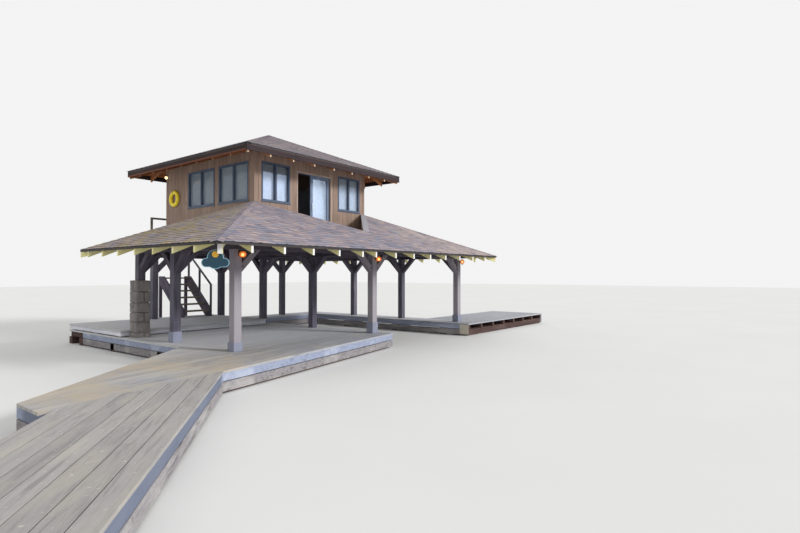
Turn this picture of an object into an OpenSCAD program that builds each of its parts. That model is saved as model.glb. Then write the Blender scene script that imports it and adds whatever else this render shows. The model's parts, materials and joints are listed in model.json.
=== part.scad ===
// Two-storey boathouse: a hipped roof on braced posts over two docks and a
// boat slip, with a glazed cabin standing up through the roof.
// Millimetres, Z up. The origin is under the centre of the near-left post, at
// the level where the cribs meet the water. +X runs along the lake front.

/* [Posts] */
// Spacing of the post rows along the lake front
bay_x = 4465; // [4415:5:4700]
// Spacing of the posts back from the lake
bay_y = 2430; // [2400:5:2600]
// Last, shorter spacing of the left row
left_bay_y = 1750; // [1400:5:2000]
// Side of a square post
post_w = 190; // [140:5:220]
// Height of the knee braces below the beams
brace_drop = 510; // [400:5:600]
// Thickness of a knee brace
brace_t = 140; // [100:5:140]
// Height of the tallest wrap round a post's foot
wrap_h = 300; // [150:5:450]
// Thickness of the wraps
wrap_t = 18; // [12:1:40]
// Top of the stone pier above the docks
pier_h = 1480; // [900:10:1600]
// Side of the stone pier
pier_w = 380; // [300:5:480]

/* [Docks] */
// Top of the docks above the water
deck_h = 400; // [340:5:600]
// Thickness of the dock boards
board_t = 40; // [25:1:60]
// Depth of the dock joists
dock_joist_h = 150; // [120:5:180]
// Thickness of the dock joists
dock_joist_t = 90; // [60:5:120]
// Spacing of the dock joists
dock_joist_gap = 880; // [600:10:1000]
// Depth of the boards that close the left dock's edges
rim_h = 360; // [260:5:390]
// Depth of the boards that close the slip and the right dock
crib_rim_h = 370; // [300:5:390]
// Thickness of those boards
rim_t = 45; // [30:1:60]
// Height of the raised platform above the docks
step_h = 175; // [100:5:200]
// Dock past the middle posts, beside the slip
slip_edge = 310; // [200:5:450]
// Width of the boat slip
slip_w = 3645; // [3300:5:3700]
// How far the right dock runs past the roof
dock_run = 5020; // [2000:10:6000]
// Depth of the part that runs past the roof
dock_run_d = 2300; // [1500:10:3000]
// Turn of the left dock's lake edge
edge_turn = 12.15; // [8:0.05:16]
// Left dock's lake edge from the slip to the walkway
front_run = 6424; // [6000:5:6800]
// Left dock past the walkway
dock_tail = 236; // [150:1:400]
// Length of the walkway along its lake edge
walk_run = 6000; // [3500:10:8000]
// Width of the walkway
walk_w = 1660; // [1200:5:1900]
// Turn of the walkway from the lake front
walk_turn = 48.86; // [40:0.01:55]
// Slip's end before the back posts
slip_stop = 590; // [500:5:700]
// Docks past the back posts
back_out = 360; // [280:5:420]

/* [Lower roof] */
// Top of the eave above the docks
eave_h = 2240; // [2100:5:2500]
// Pitch of all four slopes
pitch = 22.65; // [21:0.01:23.2]
// Overhang past the posts at the front and the left
eave_out = 1300; // [1250:5:1380]
// Overhang past the posts at the right and the back
short_out = 425; // [300:5:480]
// Left eave past the last left post
left_run = 400; // [200:5:600]
// Thickness of the boarding and shingles, plumb
roof_t = 36; // [25:1:60]
// Depth of a rafter, plumb
rafter_h = 160; // [130:1:185]
// Thickness of a rafter
rafter_t = 50; // [38:1:70]
// Thickness of a hip rafter
hip_t = 90; // [60:1:110]
// Widest spacing of the rafters
rafter_gap = 800; // [600:5:900]
// Depth of the beams on the posts
beam_h = 150; // [120:5:200]

/* [Cabin] */
// Cabin walls behind the front and left posts
cabin_in = 1875; // [1820:5:1960]
// Depth of the cabin
cabin_d = 4445; // [4300:5:4550]
// Thickness of the floor boards
floor_t = 40; // [25:1:50]
// Depth of the floor joists
joist_h = 250; // [220:5:270]
// Thickness of the floor joists
joist_t = 50; // [38:1:70]
// Spacing of the floor joists
joist_gap = 480; // [350:10:600]
// Thickness of the cabin walls
wall_t = 140; // [100:5:170]
// Window sills above the floor
sill_h = 997; // [985:1:1150]
// Window heads above the floor
head_h = 2064; // [1900:1:2110]
// Width of a front window
front_win_w = 985; // [800:5:1050]
// Width of a side window
side_win_w = 1380; // [1000:5:1440]
// Clear wall between two side windows
side_win_gap = 200; // [120:5:260]
// Windows in from the cabin's corners
win_in = 215; // [190:5:280]
// Width of the sliding door's opening
door_w = 1400; // [1200:5:1450]
// Opening in from the cabin's left wall
door_in = 1435; // [1400:5:1500]
// Head of the doors above the floor
door_head_h = 1978; // [1900:1:2050]
// Width of the back door
back_door_w = 860; // [760:5:950]
// Width of a window or door frame's members
frame_w = 50; // [40:1:60]
// Balcony's point in front of the cabin
balcony_out = 1805; // [1500:5:1850]
// Balcony's point right of the cabin's left wall
balcony_in = 2425; // [2200:5:2600]
// Thickness of the balcony's side walls
cheek_t = 90; // [60:5:120]
// Width of the board that caps the right one
cap_w = 170; // [130:5:200]
// Thickness of that board
cap_t = 25; // [18:1:40]

/* [Upper roof] */
// Top of the upper eave above the floor
up_eave_h = 2226; // [2200:1:2400]
// Pitch of the upper roof
up_pitch = 22.6; // [18:0.1:28]
// Overhang past the walls
up_out = 840; // [650:5:950]
// Thickness of the boarding and shingles, plumb
up_roof_t = 40; // [30:1:60]
// Depth of the fascia below the boarding
fascia_h = 135; // [110:5:180]
// Thickness of the fascia
fascia_t = 32; // [20:1:45]
// Depth of a rafter tail, plumb
tail_h = 210; // [150:5:240]
// Widest spacing of the rafter tails
tail_gap = 780; // [600:5:900]

/* [Stair and landing] */
// Number of treads
tread_count = 6; // [4:1:7]
// Rise of a step
rise = 225; // [180:5:230]
// Going of a step
going = 250; // [220:5:280]
// Width of the stair
stair_w = 1050; // [800:10:1150]
// Thickness of a tread
tread_t = 50; // [35:1:60]
// Depth of the landing behind the cabin
landing_d = 1060; // [980:10:1100]
// Height of the rails
rail_h = 880; // [750:10:1000]
// Side of a rail or a rail post
rail_w = 60; // [45:1:80]

/* [Fittings] */
// Outer diameter of the life ring
ring_d = 560; // [450:5:700]
// Thickness of the life ring
ring_t = 100; // [80:2:110]
// Diameter of a lantern's globe
globe_d = 150; // [110:5:170]
// Width of the hanging board
plaque_w = 505; // [420:5:560]
// Height of the hanging board
plaque_h = 365; // [300:5:380]
// Depth of the block it hangs from, below the eave
block_h = 180; // [150:5:230]

/* [Hidden] */
$fn = 32;

// Post grid
row_x = [0, bay_x, 2 * bay_x];
row_y = [0, bay_y, 2 * bay_y, 3 * bay_y];
left_y = [0, bay_y, bay_y + left_bay_y];
extra_post_x = row_x[1] + 0.63 * bay_x;
half = post_w / 2;

// Levels: the beams' tops lie just under the boarding of the right and back
// slopes, and the floor joists stand on them
slope = tan(pitch);
play = 10;
z_deck = deck_h;
z_step = z_deck + step_h;
z_eave = z_deck + eave_h;
z_row = z_eave + slope * eave_out;
z_top = z_row + slope * cabin_in;
z_beam = z_eave + slope * (short_out - half) - roof_t - play;
z_under = z_beam - beam_h;
z_joist = z_beam + joist_h;
z_floor = z_joist + floor_t;
z_sill = z_floor + sill_h;
z_head = z_floor + head_h;
z_door = z_floor + door_head_h;
z_up = z_floor + up_eave_h;
up_slope = tan(up_pitch);

// Plan of the cabin. The hips run at 45 degrees from the eaves' corners to the
// cabin's, which gives its width
cab_x0 = cabin_in;
cab_x1 = row_x[2] + short_out - eave_out - cabin_in;
cab_y0 = cabin_in;
cab_y1 = cab_y0 + cabin_d;
cabin_w = cab_x1 - cab_x0;

// Plan of the lower roof
eave_x0 = -eave_out;
eave_y0 = -eave_out;
eave_x1 = row_x[2] + short_out;
eave_y1 = row_y[3] + short_out;
left_end_y = left_y[2] + left_run;
hip_top_y = eave_y1 - (eave_x1 - cab_x1);
verge_x = row_x[1] - half - 30;
tip = [cab_x0 + balcony_in, cab_y0 - balcony_out];
front_plan = [[eave_x0, eave_y0], [eave_x1, eave_y0], [cab_x1, cab_y0], tip, [cab_x0, cab_y0]];
left_plan = [[eave_x0, eave_y0], [cab_x0, cab_y0], [eave_x0, left_end_y]];
right_plan = [[eave_x1, eave_y0], [eave_x1, eave_y1], [cab_x1, hip_top_y], [cab_x1, cab_y0]];
back_plan = [[eave_x1, eave_y1], [verge_x, eave_y1], [verge_x, cab_y1], [cab_x1, cab_y1], [cab_x1, hip_top_y]];
notch_plan = [[cab_x0, cab_y0], tip, [cab_x1, cab_y0]];
// Far enough to reach past the whole roof
far = 3 * bay_x;

// Openings along the cabin's walls
front_wins = [cab_x0 + win_in, cab_x1 - win_in - front_win_w];
side_wins = [cab_y0 + win_in + 30, cab_y0 + win_in + 30 + side_win_w + side_win_gap];
back_wins = [cab_x1 - win_in - wall_t - side_win_w];
door_x0 = cab_x0 + door_in;
door_x1 = door_x0 + door_w;
back_door_x = cab_x0 + wall_t + win_in;
frame_d = 90;
glass_t = 12;
pane_back = 40;

// Upper roof
up_x0 = cab_x0 - up_out;
up_y0 = cab_y0 - up_out;
up_w = cabin_w + 2 * up_out;
up_d = cabin_d + 2 * up_out;

// Docks
slip_x0 = row_x[1] + slip_edge;
slip_x1 = slip_x0 + slip_w;
dock_x1 = eave_x1 + dock_run;
left_front_y = -480;
right_front_y = -760;
slip_y1 = row_y[3] - slip_stop;
dock_y1 = row_y[3] + back_out;
dock_x0 = -400;
edge_d = [-cos(edge_turn), -sin(edge_turn)];
corner = [slip_x0, left_front_y] + front_run * edge_d;
// How far the walkway covers that edge
walk_cover = walk_w / sin(walk_turn - edge_turn);
west = corner + (walk_cover + dock_tail) * edge_d;
west_d = 716;
notch_y = 1500;
left_dock_plan = [west, [slip_x0, left_front_y], [slip_x0, slip_y1], [dock_x0, slip_y1], [dock_x0, notch_y],
    west + [0, west_d]];

// Walkway: a point s along its lake edge from the dock's corner and w in from that edge
walk_d = [-cos(walk_turn), -sin(walk_turn)];
walk_n = [-sin(walk_turn), cos(walk_turn)];
function walk_at(s, w) = corner + s * walk_d + w * walk_n;
// Where the walkway starts, w in from its lake edge
function walk_start(w) = w / tan(walk_turn - edge_turn);
function walk_plan(gap) = [walk_at(gap, 0), walk_at(walk_start(walk_w) + gap, walk_w),
    walk_at(walk_run, walk_w), walk_at(walk_run, 0)];
right_dock_plan = [[slip_x1, right_front_y], [dock_x1, right_front_y],
    [dock_x1, right_front_y + dock_run_d], [eave_x1, right_front_y + dock_run_d], [eave_x1, dock_y1],
    [slip_x1, dock_y1]];
platform_y0 = left_y[2] + pier_w / 2 + 30;
platform_x1 = row_x[1] - half - 100;
sill_t = deck_h - board_t - dock_joist_h;

// Stair
stair_in = 615;
stair_x1 = row_x[1] - stair_in;
stair_x0 = stair_x1 - stair_w;
stair_y0 = row_y[3] - 290;
stringer_t = 50;
stair_end_y = stair_y0 + tread_count * going;
z_stair_top = z_step + tread_count * rise;

// Evenly spaced places from one end to the other, no further apart than gap
function spread(from, to, gap) =
    let (n = ceil((to - from) / gap)) [for (i = [0:n]) from + (to - from) * i / n];

// A box between two corners
module box(low, high) translate(low) cube(high - low);

module prism(plan) linear_extrude(2 * z_up) polygon(plan);

// A slab with plumb edges under a line that rises along +Y from the X axis
module rising_slab(length, run, tilt, t)
    rotate([90, 0, 90])
        linear_extrude(length)
            polygon([[0, 0], [run, run * tilt], [run, run * tilt - t], [0, -t]]);

// The same, centred on a point of the lower edge and turned about it: 0 rises
// towards +Y, 90 towards -X, 180 towards -Y and -90 towards +X
module plane_slab(edge, turn, tilt, t, width = 2 * far, run = far)
    translate(edge)
        rotate([0, 0, turn])
            translate([-width / 2, 0, 0])
                rising_slab(width, run, tilt, t);

// A timber along the inner side of a plan's edge from p to q
module edge_timber(p, q, inset, trim, w, z0, z1) {
    d = q - p;
    translate([p[0], p[1], 0])
        rotate([0, 0, atan2(d[1], d[0])])
            box([trim, inset, z0], [norm(d) - trim, inset + w, z1]);
}

// Docks
module left_dock()
    color("darkgray")
        translate([0, 0, z_deck - board_t])
            linear_extrude(board_t)
                polygon(left_dock_plan);

module back_dock()
    color("gray")
        box([dock_x0, slip_y1, z_deck - board_t], [slip_x1, dock_y1, z_deck]);

module back_platform()
    color("silver")
        box([dock_x0, platform_y0, z_deck], [platform_x1, dock_y1, z_step]);

module right_dock()
    color("darkgray")
        translate([0, 0, z_deck - board_t])
            linear_extrude(board_t)
                polygon(right_dock_plan);

module walkway()
    color("darkgray")
        translate([0, 0, z_deck - board_t])
            linear_extrude(board_t)
                polygon(walk_plan(0));

// A timber of the walkway from s0 to s1 along it and from w0 to w1 across it
module walk_timber(s0, s1, w0, w1, z0, z1)
    translate(corner)
        rotate([0, 0, 180 + walk_turn])
            box([s0, -w1, z0], [s1, -w0, z1]);

// Y of the line through two points at x
function line_y(p, q, x) = p[1] + (q[1] - p[1]) * (x - p[0]) / (q[0] - p[0]);
function dock_front(x) = line_y(left_dock_plan[0], left_dock_plan[1], x);
function dock_back(x) = x < dock_x0 ? line_y(left_dock_plan[5], left_dock_plan[4], x) : slip_y1;

module dock_joist(x, y0, y1)
    if (y1 - y0 > 300)
        box([x - dock_joist_t / 2, y0, sill_t], [x + dock_joist_t / 2, y1, sill_t + dock_joist_h]);

// First joist of the walkway, from the dock's corner
walk_first = 520;

module dock_joists()
    color("dimgray") {
        e = dock_joist_t / 2;
        for (x = spread(slip_x1 + rim_t + 60, dock_x1 - rim_t - 60, dock_joist_gap))
            dock_joist(x, right_front_y + 10, x > eave_x1 ? right_front_y + dock_run_d : dock_y1);
        for (x = spread(west[0] + 200, slip_x0 - rim_t - 60, dock_joist_gap))
            dock_joist(x, max(dock_front(x - e), dock_front(x + e)) + 1.2 * rim_t,
                min(dock_back(x - e), dock_back(x + e)) - 2 * rim_t);
        for (x = spread(dock_x0 + 100, slip_x1 - 60, dock_joist_gap))
            dock_joist(x, slip_y1 + rim_t + 20, dock_y1);
        for (s = spread(walk_first, walk_run - rim_t - 60 - e, dock_joist_gap))
            walk_timber(s - e, s + e, rim_t + 15, min(walk_w - rim_t, (s - e) * tan(walk_turn - edge_turn)) - 60,
                sill_t, sill_t + dock_joist_h);
    }

module dock_sills()
    color("saddlebrown") {
        for (y = [right_front_y + 60 + sill_t / 2, row_y[0] + 300])
            box([slip_x1 + rim_t, y - sill_t / 2, 0], [dock_x1 - rim_t, y + sill_t / 2, sill_t]);
        for (y = [row_y[1], row_y[2]])
            box([slip_x1 + rim_t, y - sill_t / 2, 0], [eave_x1, y + sill_t / 2, sill_t]);
        for (y = [row_y[0], row_y[1], row_y[2]])
            box([dock_x0, y - sill_t / 2, 0], [slip_x0 - rim_t, y + sill_t / 2, sill_t]);
        for (y = [slip_y1 + rim_t + sill_t / 2, dock_y1 - sill_t / 2])
            box([dock_x0, y - sill_t / 2, 0], [eave_x1, y + sill_t / 2, sill_t]);
        edge_timber(left_dock_plan[0], left_dock_plan[1], rim_t + 20, 300, sill_t, 0, sill_t);
        for (w = [rim_t + 30, walk_w - rim_t - 30 - sill_t])
            walk_timber(walk_start(w + sill_t) + 60, walk_run - rim_t - 20, w, w + sill_t, 0, sill_t);
    }

// Point t inside corner i of a plan that runs anticlockwise
function inset_corner(plan, i, t) =
    let (n = len(plan), u = plan[i] - plan[(i + n - 1) % n], v = plan[(i + 1) % n] - plan[i],
        m = [-u[1], u[0]] / norm(u), k = [-v[1], v[0]] / norm(v)) plan[i] + t * (m + k) / (1 + m * k);

// Mitred boards along the given edges of a plan
module edge_boards(plan, edges, t)
    for (i = edges)
        polygon([plan[i], plan[(i + 1) % len(plan)], inset_corner(plan, (i + 1) % len(plan), t),
            inset_corner(plan, i, t)]);

module rim(h)
    translate([0, 0, z_deck - h])
        linear_extrude(h - board_t)
            children();

module dock_rims()
    color("lightgray") {
        rim(rim_h) edge_boards(left_dock_plan, [0, 1, 3, 4, 5], rim_t);
        rim(rim_h) edge_boards(walk_plan(8), [1, 2, 3], rim_t);
        rim(crib_rim_h) edge_boards(right_dock_plan, [1, 5], rim_t);
        rim(crib_rim_h)
            polygon([[slip_x0 + rim_t, slip_y1], [slip_x1 - rim_t, slip_y1], [slip_x1 - rim_t, slip_y1 + rim_t],
                [slip_x0 + rim_t, slip_y1 + rim_t]]);
    }

// Posts, their wraps and the pier
module post(x, y, base) box([x - half, y - half, base], [x + half, y + half, z_under]);

module posts()
    color([0.24, 0.21, 0.24]) {
        for (y = [left_y[0], left_y[1]])
            post(row_x[0], y, z_deck);
        post(row_x[0], left_y[2], z_deck + pier_h);
        for (x = [row_x[1], row_x[2]], y = row_y)
            post(x, y, z_deck);
        post(cab_x0 + half, row_y[3], z_step);
        post(extra_post_x, row_y[3], z_deck);
    }

module wrap(x, y, share)
    difference() {
        box([x - half - wrap_t, y - half - wrap_t, z_deck],
            [x + half + wrap_t, y + half + wrap_t, z_deck + share * wrap_h]);
        box([x - half, y - half, z_deck - 1], [x + half, y + half, z_deck + wrap_h + 1]);
    }

module post_wraps()
    color("lightsteelblue") {
        wrap(row_x[0], row_y[0], 0.64);
        wrap(row_x[1], row_y[0], 1);
        wrap(row_x[2], row_y[0], 0.8);
        wrap(row_x[0], left_y[1], 0.87);
    }

module stone_pier()
    color("lightslategray")
        translate([row_x[0], left_y[2], 0])
            box([-pier_w / 2, -pier_w / 2, 0], [pier_w / 2, pier_w / 2, z_deck + pier_h]);

// A knee brace at 45 degrees from a post's face to the beam's underside; turn
// gives the side of the post: 0 is +X, 90 is +Y
module brace(x, y, turn) {
    d = brace_t * sqrt(2);
    translate([x, y, z_under])
        rotate([0, 0, turn])
            translate([half, brace_t / 2, 0])
                rotate([90, 0, 0])
                    linear_extrude(brace_t)
                        polygon([[0, -brace_drop], [0, -brace_drop + d], [brace_drop - d, 0], [brace_drop, 0]]);
}

module braces()
    color([0.2, 0.17, 0.2]) {
        for (y = left_y)
            brace(row_x[0], y, 0);
        for (y = [left_y[0], left_y[1]])
            brace(row_x[0], y, 90);
        for (y = [left_y[1], left_y[2]])
            brace(row_x[0], y, -90);
        for (y = row_y)
            brace(row_x[1], y, 0);
        for (y = [row_y[0], row_y[1], row_y[3]])
            brace(row_x[1], y, 180);
        for (y = row_y)
            brace(row_x[2], y, 180);
        for (x = [row_x[1], row_x[2]], i = [0:2]) {
            brace(x, row_y[i], 90);
            brace(x, row_y[i + 1], -90);
        }
        for (turn = [0, 180])
            brace(extra_post_x, row_y[3], turn);
        brace(cab_x0 + half, row_y[3], 0);
    }

// Beams: the cross beams run along the lake front and the row beams between them
module cross_beam(x0, x1, y)
    box([x0 - half, y - half, z_under], [x1 + half, y + half, z_beam]);

module cross_beams()
    color([0.2, 0.17, 0.2]) {
        cross_beam(row_x[0], row_x[2], row_y[0]);
        cross_beam(row_x[0], row_x[2], row_y[1]);
        cross_beam(row_x[0], row_x[1] - post_w, left_y[2]);
        cross_beam(row_x[1], row_x[2], row_y[2]);
        cross_beam(cab_x0 + half, row_x[2], row_y[3]);
    }

module row_beam(x, y0, y1) box([x - half, y0 + half, z_under], [x + half, y1 - half, z_beam]);

module row_beams()
    color([0.2, 0.17, 0.2]) {
        row_beam(row_x[0], left_y[0], left_y[1]);
        row_beam(row_x[0], left_y[1], left_y[2]);
        for (x = [row_x[1], row_x[2]], i = [0:2])
            row_beam(x, row_y[i], row_y[i + 1]);
    }

// Plates that carry the rafters: on the front and left rows they stand as high
// as the joists, on the right and back rows they are wedges under the boarding
front_plate_x1 = eave_x1 - (z_joist + roof_t + play - z_eave) / slope;
left_plate_y1 = left_end_y + (cab_y0 - left_end_y) * (half - eave_x0) / (cab_x0 - eave_x0);
wedge_h = play + slope * post_w;

module plates()
    color([0.2, 0.17, 0.2]) {
        box([-half, -half, z_beam], [front_plate_x1, half, z_joist]);
        box([-half, half + 2, z_beam], [half, left_plate_y1, z_joist]);
        translate([row_x[2], row_y[3] - half, z_beam])
            rotate([90, 0, 0])
                linear_extrude(row_y[3])
                    polygon([[-half, 0], [half, 0], [half, play], [-half, wedge_h]]);
        translate([verge_x, row_y[3], z_beam])
            rotate([90, 0, 90])
                linear_extrude(row_x[2] - half - verge_x)
                    polygon([[-half, 0], [half, 0], [half, play], [-half, wedge_h]]);
    }

// What the plates take out of the rafters
module plate_space() {
    box([-half, -half, z_beam], [front_plate_x1, half, z_joist]);
    box([-half, -half, z_beam], [half, left_plate_y1, z_joist]);
    box([row_x[2] - half, -half, 0], [row_x[2] + half, row_y[3] + half, 2 * z_up]);
    box([verge_x - 1, row_y[3] - half, 0], [row_x[2] + half, row_y[3] + half, 2 * z_up]);
}

// Floor and balcony
module floor_joists()
    color([0.3, 0.24, 0.2])
        for (x = spread(cab_x0 + joist_t / 2, cab_x1 - joist_t / 2, joist_gap))
            box([x - joist_t / 2, half, z_beam], [x + joist_t / 2, x < verge_x ? landing_y1 : cab_y1, z_joist]);

module cabin_floor()
    color([0.45, 0.36, 0.28])
        box([cab_x0, cab_y0, z_joist], [cab_x1, cab_y1, z_floor]);

module balcony_floor()
    color([0.45, 0.42, 0.4])
        translate([0, 0, z_joist])
            linear_extrude(floor_t)
                polygon(notch_plan);

// The right edge of the balcony: its direction up the roof and its outer side
edge_v = (notch_plan[2] - tip) / norm(notch_plan[2] - tip);
edge_n = [edge_v[1], -edge_v[0]];
cap_in = cheek_t + 5;
cap_plan = [tip - cap_in * edge_n, tip + (cap_w - cap_in) * edge_n, notch_plan[2] + (cap_w - cap_in) * edge_n,
    notch_plan[2], notch_plan[2] - [cap_in / edge_v[1], 0]];

module balcony_sides()
    color([0.28, 0.22, 0.19])
        intersection() {
            left_v = (notch_plan[0] - tip) / norm(notch_plan[0] - tip);
            plane_slab([0, eave_y0, z_eave], 0, slope, z_up);
            translate([0, 0, z_floor])
                linear_extrude(z_up)
                    polygon([notch_plan[0], tip, notch_plan[2], notch_plan[2] - [cheek_t / edge_v[1], 0],
                        inset_corner(notch_plan, 1, cheek_t), notch_plan[0] + [cheek_t / left_v[1], 0]]);
        }

module balcony_cap()
    color([0.7, 0.7, 0.7])
        intersection() {
            plane_slab([0, eave_y0, z_eave + cap_t], 0, slope, cap_t);
            prism(cap_plan);
        }

// Lower roof
module roof_front()
    color([0.45, 0.39, 0.38])
        intersection() {
            plane_slab([0, eave_y0, z_eave], 0, slope, roof_t);
            prism(front_plan);
        }

module roof_left()
    color([0.42, 0.38, 0.33])
        intersection() {
            plane_slab([eave_x0, 0, z_eave], -90, slope, roof_t);
            prism(left_plan);
        }

module roof_right()
    color([0.42, 0.37, 0.36])
        intersection() {
            plane_slab([eave_x1, 0, z_eave], 90, slope, roof_t);
            prism(right_plan);
        }

module roof_back()
    color([0.42, 0.37, 0.36])
        intersection() {
            plane_slab([0, eave_y1, z_eave], 180, slope, roof_t);
            prism(back_plan);
        }

// Hip rafters: lower end, upper end, side and the distance from the lower end to
// where it starts. The first leaves room for the block that the board hangs from;
// the last lies inside the left slope's open edge and trims it
hip_drop = slope * hip_t / 2;
block_s = [270, 335];
hips = [
    [[eave_x0, eave_y0], [cab_x0, cab_y0], 0.5, block_s[1] + 2],
    [[eave_x1, eave_y0], [cab_x1, cab_y0], 0.5, hip_t / 2],
    [[eave_x1, eave_y1], [cab_x1, hip_top_y], 0.5, hip_t / 2],
    [[eave_x0, left_end_y], [cab_x0, cab_y0], 0, hip_t / 2]];

module hip_bar(hip) {
    d = hip[1] - hip[0];
    tilt = (z_top - z_eave) / norm(d);
    drop = hip_drop * (hip[2] == 0 ? 2 : 1);
    translate([hip[0][0], hip[0][1], z_eave - roof_t - drop])
        rotate([0, 0, atan2(d[1], d[0]) - 90])
            translate([-hip_t * hip[2], hip[3], hip[3] * tilt])
                rising_slab(hip_t, norm(d) - hip[3] - hip_t / 2, tilt, rafter_h - drop);
}

z_block = z_eave - roof_t - block_h;

module corner_block()
    translate([eave_x0, eave_y0, 0])
        rotate([0, 0, -45])
            box([-hip_t / 2, block_s[0], z_block],
                [hip_t / 2, block_s[1], z_eave - roof_t + slope * (block_s[0] - hip_t / 2) / sqrt(2) - 2]);

module hip_rafters()
    color([0.75, 0.72, 0.6]) {
        corner_block();
        difference() {
            for (hip = hips)
                hip_bar(hip);
            plate_space();
        }
    }

module hip_space()
    for (hip = hips)
        edge_timber(hip[0], hip[1], -hip_t * (1 - hip[2]) - 2, -hip_t, hip_t + 4, 0, 2 * z_up);

// Rafters under one slope, each given by the point where it starts
module slope_rafters(starts, turn, plan)
    intersection() {
        for (p = starts)
            plane_slab([p[0], p[1], z_eave - roof_t + slope * lip], turn, slope, rafter_h, rafter_t);
        prism(plan);
    }

// The front's rafters are set out from both of its ends
lip = 22;
meet_x = 0.65 * bay_x;
front_lines = concat(spread(eave_x0 + rafter_gap - 10, meet_x - 245, rafter_gap),
    spread(meet_x + 245, eave_x1 - rafter_gap + 65, rafter_gap));
left_lines = spread(eave_y0 + rafter_gap - 20, left_end_y - rafter_gap / 2, rafter_gap);
right_lines = spread(eave_y0 + rafter_gap, eave_y1 - rafter_gap, rafter_gap);
back_lines = spread(verge_x + rafter_t, eave_x1 - rafter_gap, rafter_gap);

module rafters()
    color([0.9, 0.86, 0.66])
        difference() {
            union() {
                slope_rafters([for (x = front_lines) [x, eave_y0 + lip]], 0, front_plan);
                slope_rafters([for (y = left_lines) [eave_x0 + lip, y]], -90, left_plan);
                slope_rafters([for (y = right_lines) [eave_x1 - lip, y]], 90, right_plan);
                slope_rafters([for (x = back_lines) [x, eave_y1 - lip]], 180, back_plan);
            }
            hip_space();
            plate_space();
        }

// Upper roof: where two gables cross, a hipped block of the given top edge
module hip_block(z_edge, z_base)
    translate([up_x0, up_y0, 0])
        intersection() {
            rotate([90, 0, 90])
                linear_extrude(up_w)
                    polygon([[0, z_base], [up_d, z_base], [up_d, z_edge],
                        [up_d / 2, z_edge + up_slope * up_d / 2], [0, z_edge]]);
            translate([0, up_d, 0])
                rotate([90, 0, 0])
                    linear_extrude(up_d)
                        polygon([[0, z_base], [up_w, z_base], [up_w, z_edge],
                            [up_w / 2, z_edge + up_slope * up_w / 2], [0, z_edge]]);
        }

// Plan of one slope, its eave along the X axis: a stands for the eave's length
// and b for the roof's depth behind it. The slopes stand 1 mm clear of the hips
function up_plan(a, b) =
    concat([[1, 0], [a - 1, 0]], a > b ? [[a - b / 2, b / 2 - 1], [b / 2, b / 2 - 1]] : [[a / 2, a / 2 - 1]]);

module up_slab(corner, turn, a, b)
    translate([corner[0], corner[1], z_up])
        rotate([0, 0, turn])
            intersection() {
                rising_slab(a, b / 2, up_slope, up_roof_t);
                translate([0, 0, -2 * up_roof_t])
                    linear_extrude(z_up)
                        polygon(up_plan(a, b));
            }

module upper_roof()
    color([0.36, 0.31, 0.28]) {
        up_slab([up_x0, up_y0], 0, up_w, up_d);
        up_slab([up_x0 + up_w, up_y0], 90, up_d, up_w);
        up_slab([up_x0 + up_w, up_y0 + up_d], 180, up_w, up_d);
        up_slab([up_x0, up_y0 + up_d], -90, up_d, up_w);
    }

module under_upper_roof() hip_block(z_up - up_roof_t, 0);

module upper_fascia()
    color([0.25, 0.17, 0.17])
        intersection() {
            union() {
                for (y = [up_y0, up_y0 + up_d - fascia_t])
                    box([up_x0, y, z_up - up_roof_t - fascia_h], [up_x0 + up_w, y + fascia_t, z_up]);
                for (x = [up_x0, up_x0 + up_w - fascia_t])
                    box([x, up_y0 + fascia_t + 1, z_up - up_roof_t - fascia_h],
                        [x + fascia_t, up_y0 + up_d - fascia_t - 1, z_up]);
            }
            under_upper_roof();
        }

// Rafter tails: the outermost of each side stand just outside the cabin's walls
// and end at the tails under the hips
tail_t = 45;
hip_tail_t = 60;
tail_out = 105;
jack_cut = (hip_tail_t / 2 + 4) * sqrt(2) + tail_t / 2;

module side_tails(corner, turn, a)
    translate([corner[0], corner[1], z_up - up_roof_t])
        rotate([0, 0, turn])
            for (x = spread(up_out - tail_out, a - up_out + tail_out, tail_gap)) {
                run = min(up_out, min(x, a - x) - jack_cut) - fascia_t;
                translate([x - tail_t / 2, fascia_t, up_slope * fascia_t])
                    rising_slab(tail_t, run, up_slope, tail_h);
            }

module hip_tail(corner, turn) {
    s = fascia_t * sqrt(2) + hip_tail_t / 2 + 2;
    tilt = up_slope / sqrt(2);
    drop = up_slope * hip_tail_t / 2;
    translate([corner[0], corner[1], z_up - up_roof_t - drop])
        rotate([0, 0, turn - 45])
            translate([-hip_tail_t / 2, s, s * tilt])
                rising_slab(hip_tail_t, up_out * sqrt(2) - hip_tail_t / 2 - 2 - s, tilt, tail_h - drop);
}

module rafter_tails()
    color([0.62, 0.42, 0.24]) {
        x1 = up_x0 + up_w;
        y1 = up_y0 + up_d;
        side_tails([up_x0, up_y0], 0, up_w);
        side_tails([x1, up_y0], 90, up_d);
        side_tails([x1, y1], 180, up_w);
        side_tails([up_x0, y1], -90, up_d);
        hip_tail([up_x0, up_y0], 0);
        hip_tail([x1, up_y0], 90);
        hip_tail([x1, y1], 180);
        hip_tail([up_x0, y1], -90);
    }

// Cabin walls
module wall(low, high)
    intersection() {
        box([low[0], low[1], z_floor], [high[0], high[1], 2 * z_up]);
        under_upper_roof();
    }

module front_cut(x, w) box([x, cab_y0 - 1, z_sill], [x + w, cab_y0 + wall_t + 1, z_head]);

module front_wall_left()
    color([0.5, 0.38, 0.29])
        difference() {
            wall([cab_x0, cab_y0], [door_x0, cab_y0 + wall_t]);
            front_cut(front_wins[0], front_win_w);
        }

module front_wall_right()
    color([0.5, 0.38, 0.29])
        difference() {
            wall([door_x1, cab_y0], [cab_x1, cab_y0 + wall_t]);
            front_cut(front_wins[1], front_win_w);
        }

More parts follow.
